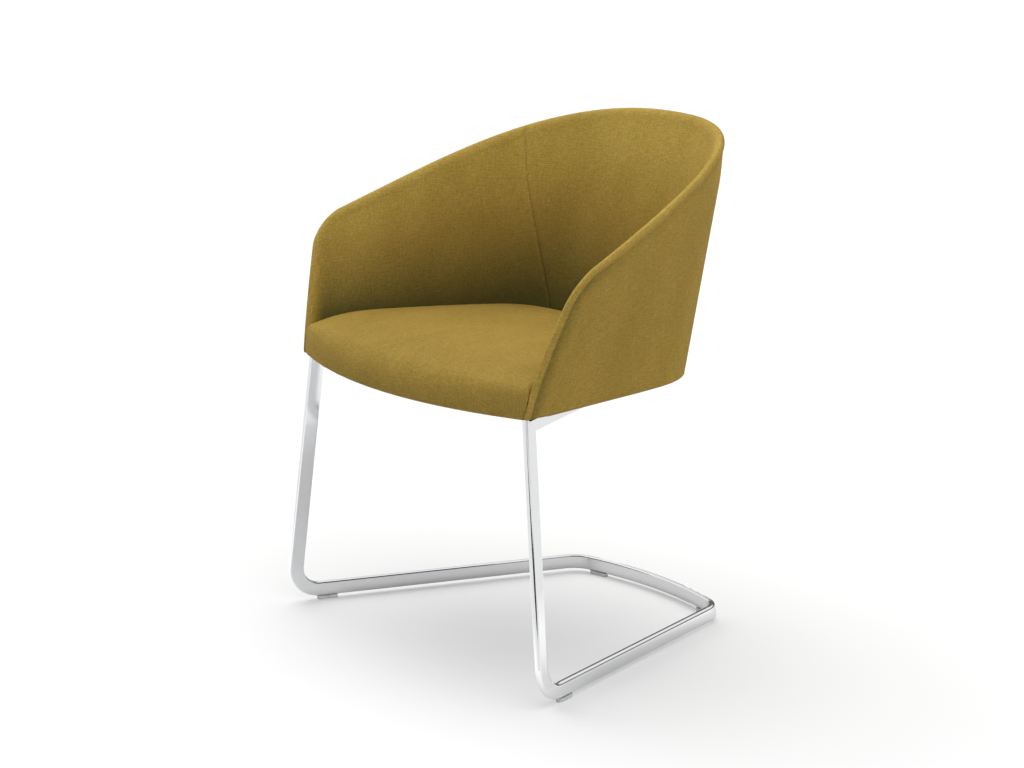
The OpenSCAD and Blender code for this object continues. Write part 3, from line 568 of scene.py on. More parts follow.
def inner_painted_shade(k, g, v, points, crest):
    t, d = folded(g), edge_distance(g, v)
    rim = rim_z(middle(g, 1 + 0 * g)[..., 1])
    high = (points[..., 2] - SEAT_LINE) / (rim - SEAT_LINE)
    lit_upper = mix(LIT_ARM, LIT_BACK, smooth((t - BACK_FROM) / BACK_OVER)) * smooth(high / 0.8)
    lit_upper += LIT_RIM * smooth((high - 0.7) / 0.3)
    corner = CORNER_DARK * bell((t - CORNER_AT[0]) / CORNER_REACH[0])
    corner *= bell((high - CORNER_AT[1]) / CORNER_REACH[1])
    # painted shade, darker down towards the seat and in the hollow; painted light on the upper wall
    deep = ((1 - np.clip(high, 0, 1)) ** 2 + corner - lit_upper) * smooth((d - 4) / 28)
    # painted highlight along the crest's roll
    deep -= mix(*CREST_LIGHT, smooth(high)) * (1 - smooth((d - 2) / 18))
    # painted shade in the crest seam's valley, painted light on the roll's outer flank
    outside = valley_painted_shade(k, d) - OUTSIDE_LIGHT
    return np.where(np.arange(len(g))[:, None] >= crest, deep, outside)


print("nap in the valley", VALLEY_SHADE)

# %% [markdown]
# There are three inner panels: one for each arm and one for the back, sewn together at
# columns 20 and 34. Columns crowd at the seams and at the arm's front.

# %% Inner panels
FRONT_COLUMNS = [0.0, 0.02, 0.05, 0.09, 0.14, 0.2, 0.3, 0.42, 0.56, 0.72]
SEAM_STEPS = (0.004, 0.035, 0.075, 0.125, 0.2, 0.3, 0.45, 0.65)
LEFT_SEAM = 2 * MIDDLE - SEAM


def near_seam(seam, side):
    return sorted(seam + side * s for s in SEAM_STEPS)


def inner_panel(name, columns, seam_columns):
    k = np.asarray(columns, float)
    rows, crest, inside = inner_rows(k, seam_columns)
    g, v, points = rows.closed()
    threads = inner_threads(k, g, v, points, inside)
    return laid_grid(name, points, threads, inner_painted_shade(k, g, v, points, crest))


arm_columns = np.concatenate([FRONT_COLUMNS, np.arange(0.9, SEAM - 0.85, 0.25), near_seam(SEAM, -1)])
back_columns = np.concatenate([near_seam(SEAM, 1), np.arange(SEAM + 0.9, LEFT_SEAM - 0.85, 0.25),
                               near_seam(LEFT_SEAM, -1)])
inner_arm_left = inner_panel("inner_arm_pad_left", arm_columns, [SEAM])
inner_arm_right = inner_panel("inner_arm_pad_right", 2 * MIDDLE - arm_columns[::-1], [LEFT_SEAM])
inner_back = inner_panel("inner_back_pad", back_columns, [SEAM, LEFT_SEAM])

# %% [markdown]
# The outer panel is one piece of cloth from arm to arm over a thin foam. It starts in
# the valley of the crest seam, fills out, and turns under the shell's lower edge.

# %% Outer panel
BACK_OF_OUTER = PLY_OUT + 0.15  # its hidden face lies on the plywood
OUTER_START = CREST_SEAM + 0.1
OUTER_TUCK = (0.7, 2.2)  # its end is tucked in under the crest's roll, and this deep
UNDER_ANGLES, UNDER_GAP = (20, 40, 58, 74, 90), 0.05  # rows of the turn under the shell
RIM_LIGHT, REAR_LIGHT = 0.32, 0.5  # painted light on it high up, and behind
REAR_FROM, REAR_OVER = 0.45, 0.3  # where round the shell the rear begins


def lifted(place, z):
    g, v = place
    return g, v + (z - BASE_Z) / (middle(g, 1 + 0 * v)[..., 2] - BASE_Z)


def outer_rows(k):
    """From the crest seam down the outside, under the foot and back up behind."""
    rows, step = Rows(), counted(k) * FRONT_STEP
    turn = np.minimum(FOOT_TURN, 0.6 * step)
    last = 1 - turn / np.maximum(column_run(k, BASE_Z), 1)
    hidden = BACK_OF_OUTER * end_round(k)

    def seen(place):
        return crest_off(k, np.maximum(edge_distance(*place), OUTER_START))

    rows.add(strip(k, OUTER_START - OUTER_TUCK[0]), crest_off(k, OUTER_START) - OUTER_TUCK[1])
    for a in np.radians(SEAM_ANGLES):
        d = OUTER_START + SEAM_EDGE * (1 - np.sin(a))
        rows.add(strip(k, d), crest_off(k, d) - SEAM_EDGE * (1 - np.cos(a)))
    edge = strip(k, OUTER_START + SEAM_EDGE)
    for f in np.concatenate([np.linspace(0, 0.12, 9), np.linspace(0.12, 1, 34)[1:]]):
        below = body(k, f * last, BASE_Z)
        lead = (1 - f) ** 8
        place = (mix(below[0], edge[0], lead), mix(below[1], edge[1], lead))
        rows.add(place, seen(place))
    for a in np.radians(UNDER_ANGLES):
        z = BASE_Z + UNDER_GAP + turn * (1 - np.sin(a))
        place = lifted(body(k, 1.0, BASE_Z), z)
        rows.add(place, seen(place) - turn * (1 - np.cos(a)), z)
    z = BASE_Z + FOOT_GAP
    rows.add(lifted(body(k, 1.0, BASE_Z), z), hidden, z)
    for f in (0.8, 0.5, 0.25, 0.1):
        rows.add(body(k, f, BASE_Z), hidden)
    rows.add(strip(k, OUTER_START + SEAM_EDGE + 0.5), 0.6)
    return rows


def outer_panel(name, columns):
    k = np.asarray(columns, float)
    g, v, points = outer_rows(k).closed()
    high = smooth((points[..., 2] - ARM_H) / (BACK_H - ARM_H))
    rear = smooth((folded(g) - REAR_FROM) / REAR_OVER)
    # painted shade in the crest seam's valley, painted light high up and round the rear
    painted_shade = valley_painted_shade(k, edge_distance(g, v)) - RIM_LIGHT * high - REAR_LIGHT * rear
    return laid_grid(name, points, threads_at(g, v), painted_shade)


first_columns = np.array(FRONT_COLUMNS + [0.9])
outer = outer_panel("outer_pad", np.concatenate([first_columns, np.arange(1.1, 2 * MIDDLE - 1.0, 0.2),
                                                 2 * MIDDLE - first_columns[::-1]]))

# %% [markdown]
# The seat is a crowned cushion. Its outline follows the inner padding, steps out to the
# outer panel ahead of the arms, and bows across the front. The front edge is a wide
# soft roll, so the front face fades from the top without a hard line.

# %% Outline of the seat at a height
SEAT_FRONT_Z, SEAT_BACK_Z = BASE_Z + 62.5, BASE_Z + 49.5
SEAT_FIT, CORNER_FIT = 0.5, 0.9  # clearance to the inner padding, and at its corners
FRONT_FOAM = 12.0  # foam ahead of the seat board
CORNER_STEP = 0.72  # share of the zone over which it steps out to the outer panel
CORNER_SOFT, SMOOTHINGS = (9.0, 5.0), 8  # its front corners are smoothed from here, over this
SIDE_FIRST, SIDE_NEAR = 0.004, 0.054  # points crowd between these shares of the way round

side_steps = [np.linspace(SIDE_FIRST, SIDE_NEAR, 22), np.linspace(SIDE_NEAR, 1, 62)[1:]]
side_steps = np.concatenate(side_steps)
SEAT_G = np.concatenate([side_steps, 2 - side_steps[::-1][1:]])
FRONT_F = (1 - np.cos(np.pi * np.linspace(0, 1, 72)[1:-1])) / 2
N_SIDE, N_FRONT = len(SEAT_G), len(FRONT_F)
ON_FRONT = np.arange(N_SIDE + N_FRONT) >= N_SIDE
FRONT_SHARE = np.concatenate([np.zeros(N_SIDE), FRONT_F])


def bow(f):
    return SEAT_BOW * 4 * f * (1 - f)


def seat_wall(g, z, inset):
    v = height_share(g, z)
    clear = smooth(2 * zone_reach(g, z) / CORNER_STEP - 1)
    off = -inset - mix(CORNER_FIT, inner_depth(edge_distance(g, v), g) + SEAT_FIT, clear)
    p = wall(g, v, off)
    w = v + (z - p[..., 2]) / (middle(g, np.ones_like(v))[..., 2] - BASE_Z)
    return wall(g, w, off)[..., :2]


def seat_outline(z, inset):
    """The outline at height z (one value for each point), inset all round."""
    z = np.broadcast_to(z, (N_SIDE + N_FRONT,))
    side, z_front = seat_wall(SEAT_G, z[:N_SIDE], inset), z[N_SIDE:]
    a = seat_wall(np.full(N_FRONT, 2.0), z_front, inset)
    b = seat_wall(np.zeros(N_FRONT), z_front, inset)
    front = mix(a, b, FRONT_F[:, None]) + np.stack([0 * FRONT_F, inset - bow(FRONT_F)], -1)
    line = np.concatenate([side, front])
    near = np.zeros(len(line))
    for corner in (0, N_SIDE - 1):
        gap = np.linalg.norm(line - line[corner], axis=1)
        near = np.maximum(near, smooth((CORNER_SOFT[0] - gap) / CORNER_SOFT[1]))
    for _ in range(SMOOTHINGS):
        between = (np.roll(line, 1, 0) + np.roll(line, -1, 0)) / 2
        line = line + 0.5 * near[:, None] * (between - line)
    return line


print("seat", np.round(np.ptp(seat_outline(BOARD_TOP, 0.0), axis=0)), "mm wide and deep")

# %% [markdown]
# Seen from the side the seat rises a little towards its front, falls again over the
# last stretch, and is crowned across its width.

# %% Top of the seat
SEAT_CROWN = 4.0  # rise of its middle over its sides
SEAT_FALL, SEAT_FALL_RUN = 20.0, 120.0  # how far its front falls, and from where
SEAT_RISE_FROM = 80.0  # behind the front of the seat, where its slope begins
SEAT_MID = np.array([0.0, mix(-FRONT_REACH, FOOT_Y[1], 0.45)])


def behind_front(x, y):
    return y + FRONT_REACH - SEAT_BOW * (x / FOOT_HALF_W) ** 2


def seat_top(x, y):
    start = -FRONT_REACH + SEAT_RISE_FROM
    t = np.clip((y - start) / (FOOT_Y[1] - start), 0, 1)
    ahead = np.clip(1 - behind_front(x, y) / SEAT_FALL_RUN, 0, 1)
    crown = SEAT_CROWN * (1 - (x / FOOT_HALF_W) ** 2) * 4 * t * (1 - t)
    return mix(SEAT_FRONT_Z, SEAT_BACK_Z, smooth(t)) + crown - SEAT_FALL * ahead * ahead


print("seat", round(float(seat_top(*SEAT_MID)), 1), "mm over the floor in its middle")

# %% [markdown]
# The cushion's grid runs round the outline in one direction and from the crown to the
# underside in the other. A lip hangs in front of the seat board, the rest lies on it.

# %% Rings of the seat cushion
SEAT_ROLL, SEAT_EDGE_R = 26.0, 12.0  # radius of its front roll, and of its other edges
FRONT_DROP, BOARD_GAP = 2.0, 0.4  # below the shell's underside, and on the seat board
TUCK_IN = 2.5  # its sides draw in by this towards their lower edge
ROLL_SPREAD = 0.3  # share of the front over which the wide roll begins
DROP_FROM, DROP_OVER = 0.024, 0.026  # where round the shell the lip ends


def seat_rings():
    """Points of all rings from the crown to the underside, and the ring at the edge."""
    blend = smooth(np.minimum(FRONT_SHARE, 1 - FRONT_SHARE) / ROLL_SPREAD)
    radius = np.where(ON_FRONT, mix(SEAT_EDGE_R, SEAT_ROLL, blend), SEAT_EDGE_R)
    t = np.concatenate([folded(SEAT_G), np.zeros(N_FRONT)])
    under = np.full(len(t), BOARD_TOP + BOARD_GAP)
    low = np.where(ON_FRONT, BASE_Z - FRONT_DROP * 4 * FRONT_SHARE * (1 - FRONT_SHARE),
                   mix(BASE_Z, under, smooth((t - DROP_FROM) / DROP_OVER)))
    crest = np.full(len(t), SEAT_FRONT_Z - SEAT_ROLL)
    for _ in range(4):
        edge = seat_outline(crest, 0.0)
        crest = seat_top(edge[:, 0], edge[:, 1]) - radius
    rings = []
    reach = np.linalg.norm(edge - SEAT_MID, axis=1)
    shares = [np.full(len(t), s) for s in np.concatenate([[0.02], np.linspace(0.06, 0.9, 26)])]
    for a in np.radians([90, 76, 62, 49, 36, 24, 12, 0]):
        shares.append(np.maximum(0.905, 1 - radius * (1 - np.cos(a)) / reach))
    for s in shares:
        p = mix(SEAT_MID, edge, s[:, None])
        z = seat_top(p[:, 0], p[:, 1]) - radius + rounded(reach * (1 - s), radius)
        rings.append(np.column_stack([p, z]))
    for f in np.linspace(0, 1, 11)[1:]:
        z = mix(crest, low, f)
        rings.append(np.column_stack([seat_outline(z, TUCK_IN * f ** 6), z]))
    lip = seat_outline(BOARD_TOP, FRONT_FOAM - 0.6)
    for z in (low + 0.2, under):
        rings.append(np.column_stack([lip, z]))
    for s in (0.6, 0.05):
        rings.append(np.column_stack([mix(SEAT_MID, lip, s), under]))
    return np.array(rings), edge, crest


# %% [markdown]
# The seat's cloth lies flat on top, so its threads follow the plan. Down the sides the
# UV map goes on by what a ring gains in depth. Painted shade darkens the front face and
# the front roll, and painted light lightens the front of one side.

# %% Seat cushion
FACE_DARK, FRONT_DARK = 0.16, 0.08  # painted shade down the front face and on the front roll
SIDE_LIGHT = 0.25  # painted light at the front of one side, where light comes in low
FRONT_SHADE_RUN = 150.0  # how far back from the front these reach


def seat_cushion(name):
    points, edge, crest = seat_rings()
    step = np.diff(points, axis=0)
    extra = np.linalg.norm(step, axis=-1) - np.linalg.norm(step[..., :2], axis=-1)
    extra = np.concatenate([np.zeros((1, len(crest))), np.cumsum(extra, axis=0)])
    reach = np.linalg.norm(edge - SEAT_MID, axis=1)
    way = np.where(ON_FRONT[:, None], np.array([[0.0, -1.0]]), (edge - SEAT_MID) / reach[:, None])
    uv = (points[..., :2] + extra[..., None] * way) * MM
    x, y, z = np.moveaxis(points, -1, 0)
    fallen = np.clip((crest + 4 - z) / (crest + 4 - BASE_Z), 0, 1)
    ahead = smooth(np.clip(1 - behind_front(x, y) / FRONT_SHADE_RUN, 0, 1) * 1.4)
    # painted shade on the front face and roll, painted light at the front of one side
    painted_shade = FACE_DARK * smooth(fallen / 0.5) + FRONT_DARK * ahead
    painted_shade -= SIDE_LIGHT * smooth((-x / FOOT_HALF_W - 0.55) / 0.4) * ahead
    points, uv, painted_shade = (np.concatenate([q, q[:, :1]], axis=1) for q in (points, uv, painted_shade))
    return laid_grid(name, points, uv, painted_shade)


seat = seat_cushion("seat_cushion")

# %% [markdown]
# Upholstered foam isn't a drawn curve: the cloth is pulled tight over it, so it fills
# out between the seams. Blender's cloth with a little pressure gives that. The edges
# are held, gravity is off, and no point may move more than a few millimetres.

# %% Cloth pulled over foam
FRAMES, PRESSURE = 16, 0.3
MOST = 2.5 * MM  # no point is kept further than this from where it was
HELD_FROM, HELD_OVER, HELD_LEAST = 12.0, 14.0, 0.03  # held up to here over the board


def pull_cloth(piece, held):
    """held gives 0..1 for each vertex, 1 where the cloth is sewn or glued down."""
    rest = np.empty(len(piece.data.vertices) * 3)
    piece.data.vertices.foreach_get("co", rest)
    rest = rest.reshape(-1, 3)
    group = piece.vertex_groups.new(name="sewn")
    for i, w in enumerate(held(rest)):
        group.add([i], float(w), "REPLACE")
    cloth = piece.modifiers.new("cloth", "CLOTH")
    s = cloth.settings
    s.quality, s.mass = 6, 0.3
    s.tension_stiffness = s.compression_stiffness = 25
    s.shear_stiffness, s.bending_stiffness = 12, 4
    s.use_pressure, s.uniform_pressure_force = True, PRESSURE
    s.vertex_group_mass = "sewn"
    s.effector_weights.gravity = 0
    cloth.collision_settings.use_collision = False
    cloth.point_cache.frame_start, cloth.point_cache.frame_end = 1, FRAMES
    scene = bpy.context.scene
    for f in range(1, FRAMES + 1):
        scene.frame_set(f)
    graph = bpy.context.evaluated_depsgraph_get()
    moved = np.empty(len(rest) * 3)
    piece.evaluated_get(graph).data.vertices.foreach_get("co", moved)
    move = moved.reshape(-1, 3) - rest
    size = np.linalg.norm(move, axis=1, keepdims=True)
    move *= MOST * np.tanh(size / MOST) / np.maximum(size, 1e-9)
    piece.modifiers.remove(cloth)
    piece.vertex_groups.clear()
    piece.data.vertices.foreach_set("co", (rest + move).ravel())
    piece.data.update()
    scene.frame_set(1)
    kept = float(np.linalg.norm(move, axis=1).max())
    print("cloth pushed out", round(float(size.max()) / MM, 2), "mm, kept", round(kept / MM, 2))


def seat_held(rest):
    free = smooth((rest[:, 2] / MM - BOARD_TOP - HELD_FROM) / HELD_OVER)
    return 1 - (1 - HELD_LEAST) * free


pull_cloth(seat, seat_held)

# %% [markdown]
# A finish is a small graph of nodes that ends in one shader. These helpers build the
# usual ones in a line each. A value that never changes is typed into its socket, and
# only what varies over the surface is linked.

# %% Helpers for node materials
def new_material(name):
    material = bpy.data.materials.new(name)
    material.use_nodes = True
    return material, material.node_tree, material.node_tree.nodes["Principled BSDF"]


def plug(tree, value, socket):
    """A number or a colour is typed into the socket, an output is linked to it."""
    if isinstance(value, (int, float)):
        socket.default_value = value
    elif isinstance(value, tuple):
        socket.default_value = (*value, 1.0)
    else:
        tree.links.new(value, socket)


def typed(node, **values):
    """Types values into a node's sockets; an underscore stands for a blank."""
    for socket, value in values.items():
        node.inputs[socket.replace("_", " ")].default_value = value


def maths(tree, operation, *values, clamp=False):
    node = tree.nodes.new("ShaderNodeMath")
    node.operation, node.use_clamp = operation, clamp
    for value, socket in zip(values, node.inputs):
        plug(tree, value, socket)
    return node.outputs[0]


def times(tree, a, b, clamp=False):
    return maths(tree, "MULTIPLY", a, b, clamp=clamp)


def plus(tree, a, b, clamp=False):
    return maths(tree, "ADD", a, b, clamp=clamp)


def minus(tree, a, b):
    return maths(tree, "SUBTRACT", a, b)


def larger(tree, a, b):
    return maths(tree, "MAXIMUM", a, b)


def parts(tree, vector):
    node = tree.nodes.new("ShaderNodeSeparateXYZ")
    plug(tree, vector, node.inputs[0])
    return node.outputs


def along_way(tree, xyz, way):
    """How far a place or a direction goes along a level way."""
    return plus(tree, times(tree, xyz[0], way[0]), times(tree, xyz[1], way[1]))


def noise(tree, vector, scale, detail=2.0, stretch=(1, 1, 1), rough=0.5):
    mapping = tree.nodes.new("ShaderNodeMapping")
    typed(mapping, Scale=stretch)
    plug(tree, vector, mapping.inputs["Vector"])
    node = tree.nodes.new("ShaderNodeTexNoise")
    typed(node, Scale=scale, Detail=detail, Roughness=rough)
    plug(tree, mapping.outputs[0], node.inputs["Vector"])
    return node.outputs["Fac"]


def ramp(tree, factor, stops):
    """Stops are places and their colours or greys."""
    node = tree.nodes.new("ShaderNodeValToRGB")
    while len(node.color_ramp.elements) < len(stops):
        node.color_ramp.elements.new(0.5)
    for element, (place, colour) in zip(node.color_ramp.elements, stops):
        element.position = place
        element.color = (*colour, 1.0) if isinstance(colour, tuple) else (colour, colour, colour, 1.0)
    plug(tree, factor, node.inputs[0])
    return node.outputs[0]


def blend_colours(tree, factor, a, b, kind="MIX"):
    node = tree.nodes.new("ShaderNodeMix")
    node.data_type, node.blend_type = "RGBA", kind
    for value, socket in ((factor, node.inputs[0]), (a, node.inputs[6]), (b, node.inputs[7])):
        plug(tree, value, socket)
    return node.outputs[2]


def bump(tree, height, distance, strength, normal=None):
    node = tree.nodes.new("ShaderNodeBump")
    typed(node, Distance=distance, Strength=strength)
    plug(tree, height, node.inputs["Height"])
    if normal is not None:
        plug(tree, normal, node.inputs["Normal"])
    return node.outputs[0]


def from_srgb(*colour):
    """A screen's colour, 0 to 255, in the linear light that sockets take."""
    shares = [c / 255 for c in colour]
    return tuple(c / 12.92 if c <= 0.04045 else ((c + 0.055) / 1.055) ** 2.4 for c in shares)


print("a screen's grey of 128 is", round(from_srgb(128)[0], 3), "in linear light")

# %% [markdown]
# A melange weave is seen as single threads of slightly different dyes, so the colour is
# drawn thread by thread: warp and weft each get their own random tone, which runs along
# the thread for a while, and the weave says which one is on top. Flecks, a slow drift
# of tone, a fine bump and a little sheen finish it. A picture of cloth would be
# simpler, but it would blur close up.

# %% Woven cloth
MUSTARD = [(0.10, from_srgb(112, 91, 40)), (0.38, from_srgb(148, 122, 54)),
           (0.62, from_srgb(173, 144, 70)), (0.90, from_srgb(206, 175, 100))]
DYE_LOTS = [(0.36, (0.965, 1.0, 0.9)), (0.64, (1.03, 0.99, 1.07))]
THREAD = 0.0016  # width of one thread, metres
SLUB = 0.018  # how far a thread keeps its tone, metres
WEAVE_EDGE = 1.6  # how sharply one thread passes over the next
FLECK_SCALE, DYE_SCALE, DRIFT_SCALE = 300.0, 95.0, 14.0  # per metre
TONE_PART, FLECK_PART, DRIFT_PART, TONE_SHIFT = 0.62, 0.5, 0.22, 0.16
THREAD_RELIEF = 0.0003
SHADE_DEPTH = 0.65  # share of its colour that the cloth loses where the painted shade is 1
SHADE_TINT = (0.05, -0.03, -0.10)  # painted shade and painted light both turn it a little greener


def thread_tone(tree, uv, weave):
    """Tone of the thread that lies on top, with flecks and a slow drift."""
    warp = noise(tree, uv, 1.0, 1.0, (1 / THREAD, 1 / SLUB, 1))
    weft = noise(tree, uv, 1.0, 1.0, (1 / SLUB, 1 / THREAD, 1))
    tone = tree.nodes.new("ShaderNodeMix")
    over = plus(tree, times(tree, weave, WEAVE_EDGE), 0.5, clamp=True)
    for value, slot in ((over, 0), (warp, 2), (weft, 3)):
        plug(tree, value, tone.inputs[slot])
    fleck = noise(tree, uv, FLECK_SCALE, 2.0, (1, 1, 1), 0.6)
    drift = noise(tree, uv, DRIFT_SCALE, 3.0, (1, 0.5, 1))
    mixed = plus(tree, times(tree, tone.outputs[0], TONE_PART), times(tree, fleck, FLECK_PART))
    mixed = plus(tree, mixed, times(tree, drift, DRIFT_PART))
    return minus(tree, mixed, TONE_SHIFT), fleck


def shaded_by_painted_light(tree, colour):
    """The colour with painted shade where the number is above 0 and painted light where it is below."""
    painted_shade = tree.nodes.new("ShaderNodeAttribute")
    painted_shade.attribute_name = "painted_shade"
    tint, left, shaded = (tree.nodes.new("ShaderNodeVectorMath") for _ in range(3))
    tint.operation, left.operation, shaded.operation = "SCALE", "SUBTRACT", "MULTIPLY"
    tint.inputs[0].default_value = SHADE_TINT
    plug(tree, maths(tree, "ABSOLUTE", painted_shade.outputs["Fac"]), tint.inputs["Scale"])
    share = minus(tree, 1.0, times(tree, painted_shade.outputs["Fac"], SHADE_DEPTH))
    plug(tree, share, left.inputs[0])
    plug(tree, tint.outputs[0], left.inputs[1])
    plug(tree, colour, shaded.inputs[0])
    plug(tree, left.outputs[0], shaded.inputs[1])
    return shaded.outputs[0]


def woven_cloth(name):
    material, tree, skin = new_material(name)
    uv = tree.nodes.new("ShaderNodeUVMap")
    uv.uv_map = "threads"
    uv = uv.outputs[0]
    across, down = parts(tree, uv)[:2]
    wave_across = maths(tree, "SINE", times(tree, across, math.pi / THREAD))
    wave_down = maths(tree, "SINE", times(tree, down, math.pi / THREAD))
    weave = times(tree, wave_across, wave_down)
    tone, fleck = thread_tone(tree, uv, weave)
    dye = ramp(tree, noise(tree, uv, DYE_SCALE, 2.0), DYE_LOTS)
    colour = blend_colours(tree, 1.0, ramp(tree, tone, MUSTARD), dye, "MULTIPLY")
    # each point's painted shade darkens the woven colour, and its painted light lightens it
    plug(tree, shaded_by_painted_light(tree, colour), skin.inputs["Base Color"])
    height = plus(tree, maths(tree, "ABSOLUTE", weave), times(tree, fleck, 0.8))
    plug(tree, bump(tree, height, THREAD_RELIEF, 0.6), skin.inputs["Normal"])
    typed(skin, Roughness=0.92, Specular_IOR_Level=0.08)
    typed(skin, Sheen_Weight=0.05, Sheen_Roughness=0.5, Sheen_Tint=(*MUSTARD[3][1], 1.0))
    return material


cloth = woven_cloth("woven_mustard")
for piece in (inner_arm_left, inner_arm_right, inner_back, outer, seat):
    piece.data.materials.append(cloth)
print("cloth threads every", THREAD * 1000, "mm")

# %% [markdown]
# The frame is bright chrome on steel. Chrome shows its surroundings and hardly any
# colour of its own, so its finish is a low roughness with faint polishing waves. The
# hidden parts get plain workshop finishes: powder coat, zinc, raw wood, moulded plastic.

# %% Metal, wood and plastic
def finish(name, colour, roughness, metallic, grain, spread, stretch=(1, 1, 1), **more):
    """grain is its scale, per metre, and its depth; spread is how far its tone varies."""
    material, tree, skin = new_material(name)
    place = tree.nodes.new("ShaderNodeTexCoord").outputs["Object"]
    fine = noise(tree, place, grain[0], 3.0, stretch)
    slow = noise(tree, place, 12.0, 2.0, stretch)
    tone = plus(tree, times(tree, fine, 0.6), times(tree, slow, 0.4))
    dark = tuple(max(0, c * (1 - spread)) for c in colour)
    light = tuple(min(1, c * (1 + spread)) for c in colour)
    plug(tree, ramp(tree, tone, [(0.3, dark), (0.7, light)]), skin.inputs["Base Color"])
    plug(tree, bump(tree, fine, grain[1], 0.5), skin.inputs["Normal"])
    typed(skin, Roughness=roughness, Metallic=metallic, **more)
    return material


chrome = finish("bright_chrome", (0.78, 0.785, 0.795), 0.06, 1.0, (90.0, 0.00001), 0.02)
powder_coat = finish("black_powder_coat", (0.035, 0.035, 0.037), 0.5, 0.0, (1800.0, 0.00006), 0.15)
zinc = finish("zinc_plate", (0.62, 0.63, 0.65), 0.34, 1.0, (600.0, 0.00003), 0.1)
raw_ply = finish("raw_plywood", (0.62, 0.45, 0.28), 0.75, 0.0, (60.0, 0.00012), 0.22, (1, 1, 24))
under_cloth = finish("black_under_cloth", (0.028, 0.028, 0.03), 0.95, 0.0, (900.0, 0.0002), 0.35)
dull_plastic = finish("black_end_plug", (0.03, 0.03, 0.032), 0.55, 0.0, (1500.0, 0.00004), 0.1)
clear_plastic = finish("clear_glide", (0.93, 0.95, 0.95), 0.12, 0.0, (700.0, 0.00003), 0.02,
                       Transmission_Weight=0.25, IOR=1.49)

FINISHES = {
    chrome: ("cantilever_tube", "seat_rail_left", "seat_rail_right"),
    powder_coat: ("front_cross_bar", "rear_cross_bar"),
    zinc: ("glide_screws", "frame_bolts", "bolt_washers", "threaded_inserts"),
    raw_ply: ("seat_board", "tub_plywood"),
    under_cloth: ("dust_cover",),
    dull_plastic: ("rail_end_plugs",),
    clear_plastic: ("glides",),
}
for material, names in FINISHES.items():
    for name in names:
        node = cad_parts[name]
        node.data.materials.clear()
        node.data.materials.append(material)
print("finishes on", sum(len(n) for n in FINISHES.values()), "nodes")

# %% [markdown]
# A drawn tube's broad side is never quite flat: it is crowned by a hair, which spreads
# a reflection over it. The floor loop gets that from a wide, very shallow bump.

# %% Crown of the floor loop
LOOP_MID, LOOP_HALF = 0.017, 0.0115  # middle of its section over the floor, half its height
CROWN = 4.0  # how fast it falls away, per metre


def crowned(material):
    tree = material.node_tree
    normal = tree.nodes["Principled BSDF"].inputs["Normal"]
    place = parts(tree, tree.nodes.new("ShaderNodeTexCoord").outputs["Object"])
    high = minus(tree, place[2], LOOP_MID)
    high = maths(tree, "MINIMUM", larger(tree, high, -LOOP_HALF), LOOP_HALF)
    crown = times(tree, times(tree, high, high), -CROWN)
    plug(tree, bump(tree, crown, 1.0, 1.0, normal.links[0].from_socket), normal)


crowned(chrome)
print("the loop's side is crowned by", round(CROWN * LOOP_HALF ** 2 * 1000, 2), "mm")

# %% [markdown]
# The floor is pale and has no edges. The camera and glass see it glow a little, so
# that it runs into the white background, but it keeps the chair's soft shadow, and no
# more light falls on the chair. Chrome needs something dark to show: gloss alone sees
# a dark wedge far ahead on the floor, and a lighter ring close round the chair.

# %% Floor
FLOOR_RADIUS = 14.0  # metres
FLAG_WAY = (0.78, -0.62)  # towards the dark wedge
FLAG_FROM, FLAG_WIDE = 2.4, 0.75  # it begins this far out, and widens by this share
FLAG_COLOUR = (0.02, 0.02, 0.02)
RING = (0.30, 6.0, 0.95, 3.0)  # where the ring begins and ends, metres, and each slope
RING_GLOW, SHOWN_GLOW = 0.33, 0.225
GLOSSY_FLOOR = (0.85, 0.85, 0.85)


def floor_flag(tree, xyz):
    ahead = along_way(tree, xyz, FLAG_WAY)
    aside = maths(tree, "ABSOLUTE", along_way(tree, xyz, (-FLAG_WAY[1], FLAG_WAY[0])))
    inside = maths(tree, "LESS_THAN", aside, times(tree, ahead, FLAG_WIDE))
    return times(tree, maths(tree, "GREATER_THAN", ahead, FLAG_FROM), inside)


def floor_ring(tree, xyz):
    squares = plus(tree, maths(tree, "POWER", xyz[0], 2.0), maths(tree, "POWER", xyz[1], 2.0))
    apart = maths(tree, "SQRT", squares)
    begun = times(tree, minus(tree, apart, RING[0]), RING[1], clamp=True)
    ended = times(tree, minus(tree, RING[2], apart), RING[3], clamp=True)
    return times(tree, begun, ended)


def floor_material():
    material, tree, skin = new_material("studio_floor")
    place = tree.nodes.new("ShaderNodeTexCoord").outputs["Object"]
    xyz, grain = parts(tree, place), noise(tree, place, 3.0, 2.0)
    rays = tree.nodes.new("ShaderNodeLightPath").outputs
    gloss = rays["Is Glossy Ray"]
    shown = larger(tree, rays["Is Camera Ray"],
                  larger(tree, gloss, rays["Is Transmission Ray"]))
    shade = blend_colours(tree, shown, ramp(tree, grain, [(0.3, 0.75), (0.7, 0.77)]),
                          ramp(tree, grain, [(0.3, 0.72), (0.7, 0.73)]))
    shade = blend_colours(tree, gloss, shade, GLOSSY_FLOOR)
    shade = blend_colours(tree, times(tree, floor_flag(tree, xyz), gloss), shade, FLAG_COLOUR)
    plug(tree, shade, skin.inputs["Base Color"])
    ring_glow = times(tree, times(tree, floor_ring(tree, xyz), RING_GLOW), gloss)
    shown_glow = times(tree, minus(tree, shown, gloss), SHOWN_GLOW)
    plug(tree, plus(tree, ring_glow, shown_glow), skin.inputs["Emission Strength"])
    typed(skin, Emission_Color=(1, 1, 1, 1), Roughness=0.6, Specular_IOR_Level=0.0)
    return material


